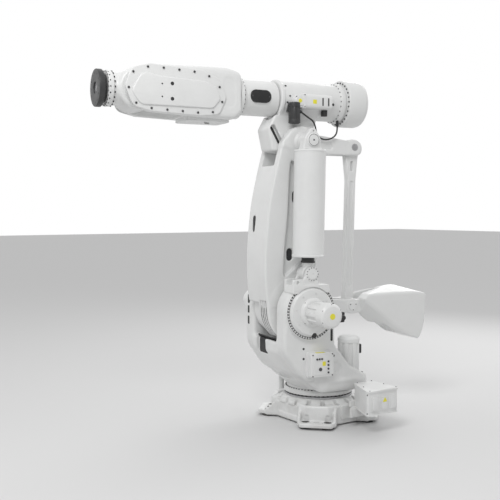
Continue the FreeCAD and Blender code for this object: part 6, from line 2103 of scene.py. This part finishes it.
@dataclass
class Studio:
    """The camera, the pale floor and the soft lights."""

    near_glow: float = 0.50
    far_glow: float = 1.0
    bright_side: Tuple[float, float, float] = (-515.0, -857.0, 0.0)
    sensor: float = 36.0
    focal_share: float = 810.25 / 500.0
    clip_end: float = 100.0
    bearing_deg: float = 30.991
    pitch_deg: float = 2.759
    yaw_deg: float = -4.850
    distance: float = 7924.4
    height: float = 2007.1
    floor_half: float = 60.0
    floor_grey: float = 0.66
    aim: Tuple[float, float, float] = (500.0, 0.0, 1700.0)

    def camera(self) -> None:
        """Puts the camera where the arm is seen three-quarter from its near side."""
        data = bpy.data.cameras.new("camera")
        cam = bpy.data.objects.new("camera", data)
        bpy.context.scene.collection.objects.link(cam)
        data.sensor_width = self.sensor
        data.lens = self.focal_share * self.sensor
        data.clip_end = self.clip_end
        bearing = math.radians(self.bearing_deg)
        pitch = math.radians(self.pitch_deg)
        yaw = math.radians(self.yaw_deg)
        place = np.array([self.distance * math.sin(bearing), self.distance * math.cos(bearing),
                          self.height])
        look = np.array([-math.sin(bearing) * math.cos(pitch), -math.cos(bearing) * math.cos(pitch),
                         -math.sin(pitch)])
        side = np.cross(look, [0.0, 0.0, 1.0])
        side /= np.linalg.norm(side)
        look = look * math.cos(yaw) + side * math.sin(yaw)
        side = np.cross(look, [0.0, 0.0, 1.0])
        side /= np.linalg.norm(side)
        up = np.cross(side, look)
        turn = to_row(np.array([side, up, -look]) * 1000.0, Space.ARM)
        spot = to_row(place, Space.ARM)[0]
        m = Matrix.Identity(4)
        for i in range(3):
            for j in range(3):
                m[j][i] = turn[i][j]
            m[i][3] = spot[i]
        cam.matrix_world = m
        bpy.context.scene.camera = cam

    def floor(self) -> None:
        """A wide pale floor that runs into the bright surroundings."""
        size = self.floor_half
        mesh = bpy.data.meshes.new("studio_floor")
        mesh.from_pydata([(-size, -size, 0), (size, -size, 0), (size, size, 0), (-size, size, 0)], [],
                         [(0, 1, 2, 3)])
        obj = bpy.data.objects.new("studio_floor", mesh)
        bpy.context.scene.collection.objects.link(obj)
        mat = bpy.data.materials.new("studio_floor")
        mat.use_nodes = True
        shader = mat.node_tree.nodes["Principled BSDF"]
        shader.inputs["Base Color"].default_value = (self.floor_grey,) * 3 + (1.0,)
        shader.inputs["Roughness"].default_value = 0.9
        shader.inputs["Specular IOR Level"].default_value = 0.1
        mesh.materials.append(mat)

    def lamp(self, name: str, spot: Sequence[float], size: float, power: float) -> None:
        """One square soft light that looks at the middle of the arm.

        Args:
            name: the light's name.
            spot: its place in the arm's plane, millimetres.
            size: the side of its square, metres.
            power: its power in watts.
        """
        data = bpy.data.lights.new(name, "AREA")
        data.size = size
        data.energy = power
        obj = bpy.data.objects.new(name, data)
        bpy.context.scene.collection.objects.link(obj)
        here = Vector(to_row(np.array(spot), Space.ARM)[0])
        there = Vector(to_row(np.array(self.aim), Space.ARM)[0])
        obj.location = here
        obj.rotation_euler = (there - here).to_track_quat("-Z", "Y").to_euler()

    def surroundings(self) -> None:
        """A soft room: bright behind the arm, dimmer on the side that it is seen from."""
        world = bpy.data.worlds.new("studio_world")
        bpy.context.scene.world = world
        world.use_nodes = True
        w = Wiring(world.node_tree)
        sky = world.node_tree.nodes["Background"]
        far = to_row(np.array([self.bright_side]), Space.ARM)[0]
        place = w.add("ShaderNodeTexCoord").outputs["Generated"]
        share = w.add("ShaderNodeVectorMath", {"operation": "DOT_PRODUCT"})
        w.feed(share.inputs[0], place)
        share.inputs[1].default_value = tuple(float(v) for v in far)
        w.feed(sky.inputs["Strength"],
               w.ramp(share.outputs["Value"], -0.6, 0.6, self.near_glow, self.far_glow))
        sky.inputs["Color"].default_value = (1.0, 1.0, 1.0, 1.0)

    def build(self) -> None:
        """Sets up the whole studio."""
        self.camera()
        self.floor()
        self.surroundings()
        bpy.context.scene.view_settings.view_transform = "Standard"
        self.lamp("key_light", (4600.0, 4400.0, 6800.0), 3.0, 260.0)
        self.lamp("rim_light", (-5200.0, -3500.0, 5200.0), 4.0, 160.0)


def main() -> None:
    """Builds everything in order."""
    logging.basicConfig(level=logging.INFO, format="%(message)s")
    shop = Shop(Paints())
    Base(shop).build()
    Turret(shop).build()
    LowerArm(shop).build()
    Spring(shop).build()
    ParallelArm(shop).build()
    UpperArm(shop).build()
    Wrist(shop).build()
    Studio().build()


if __name__ == "__main__":
    main()
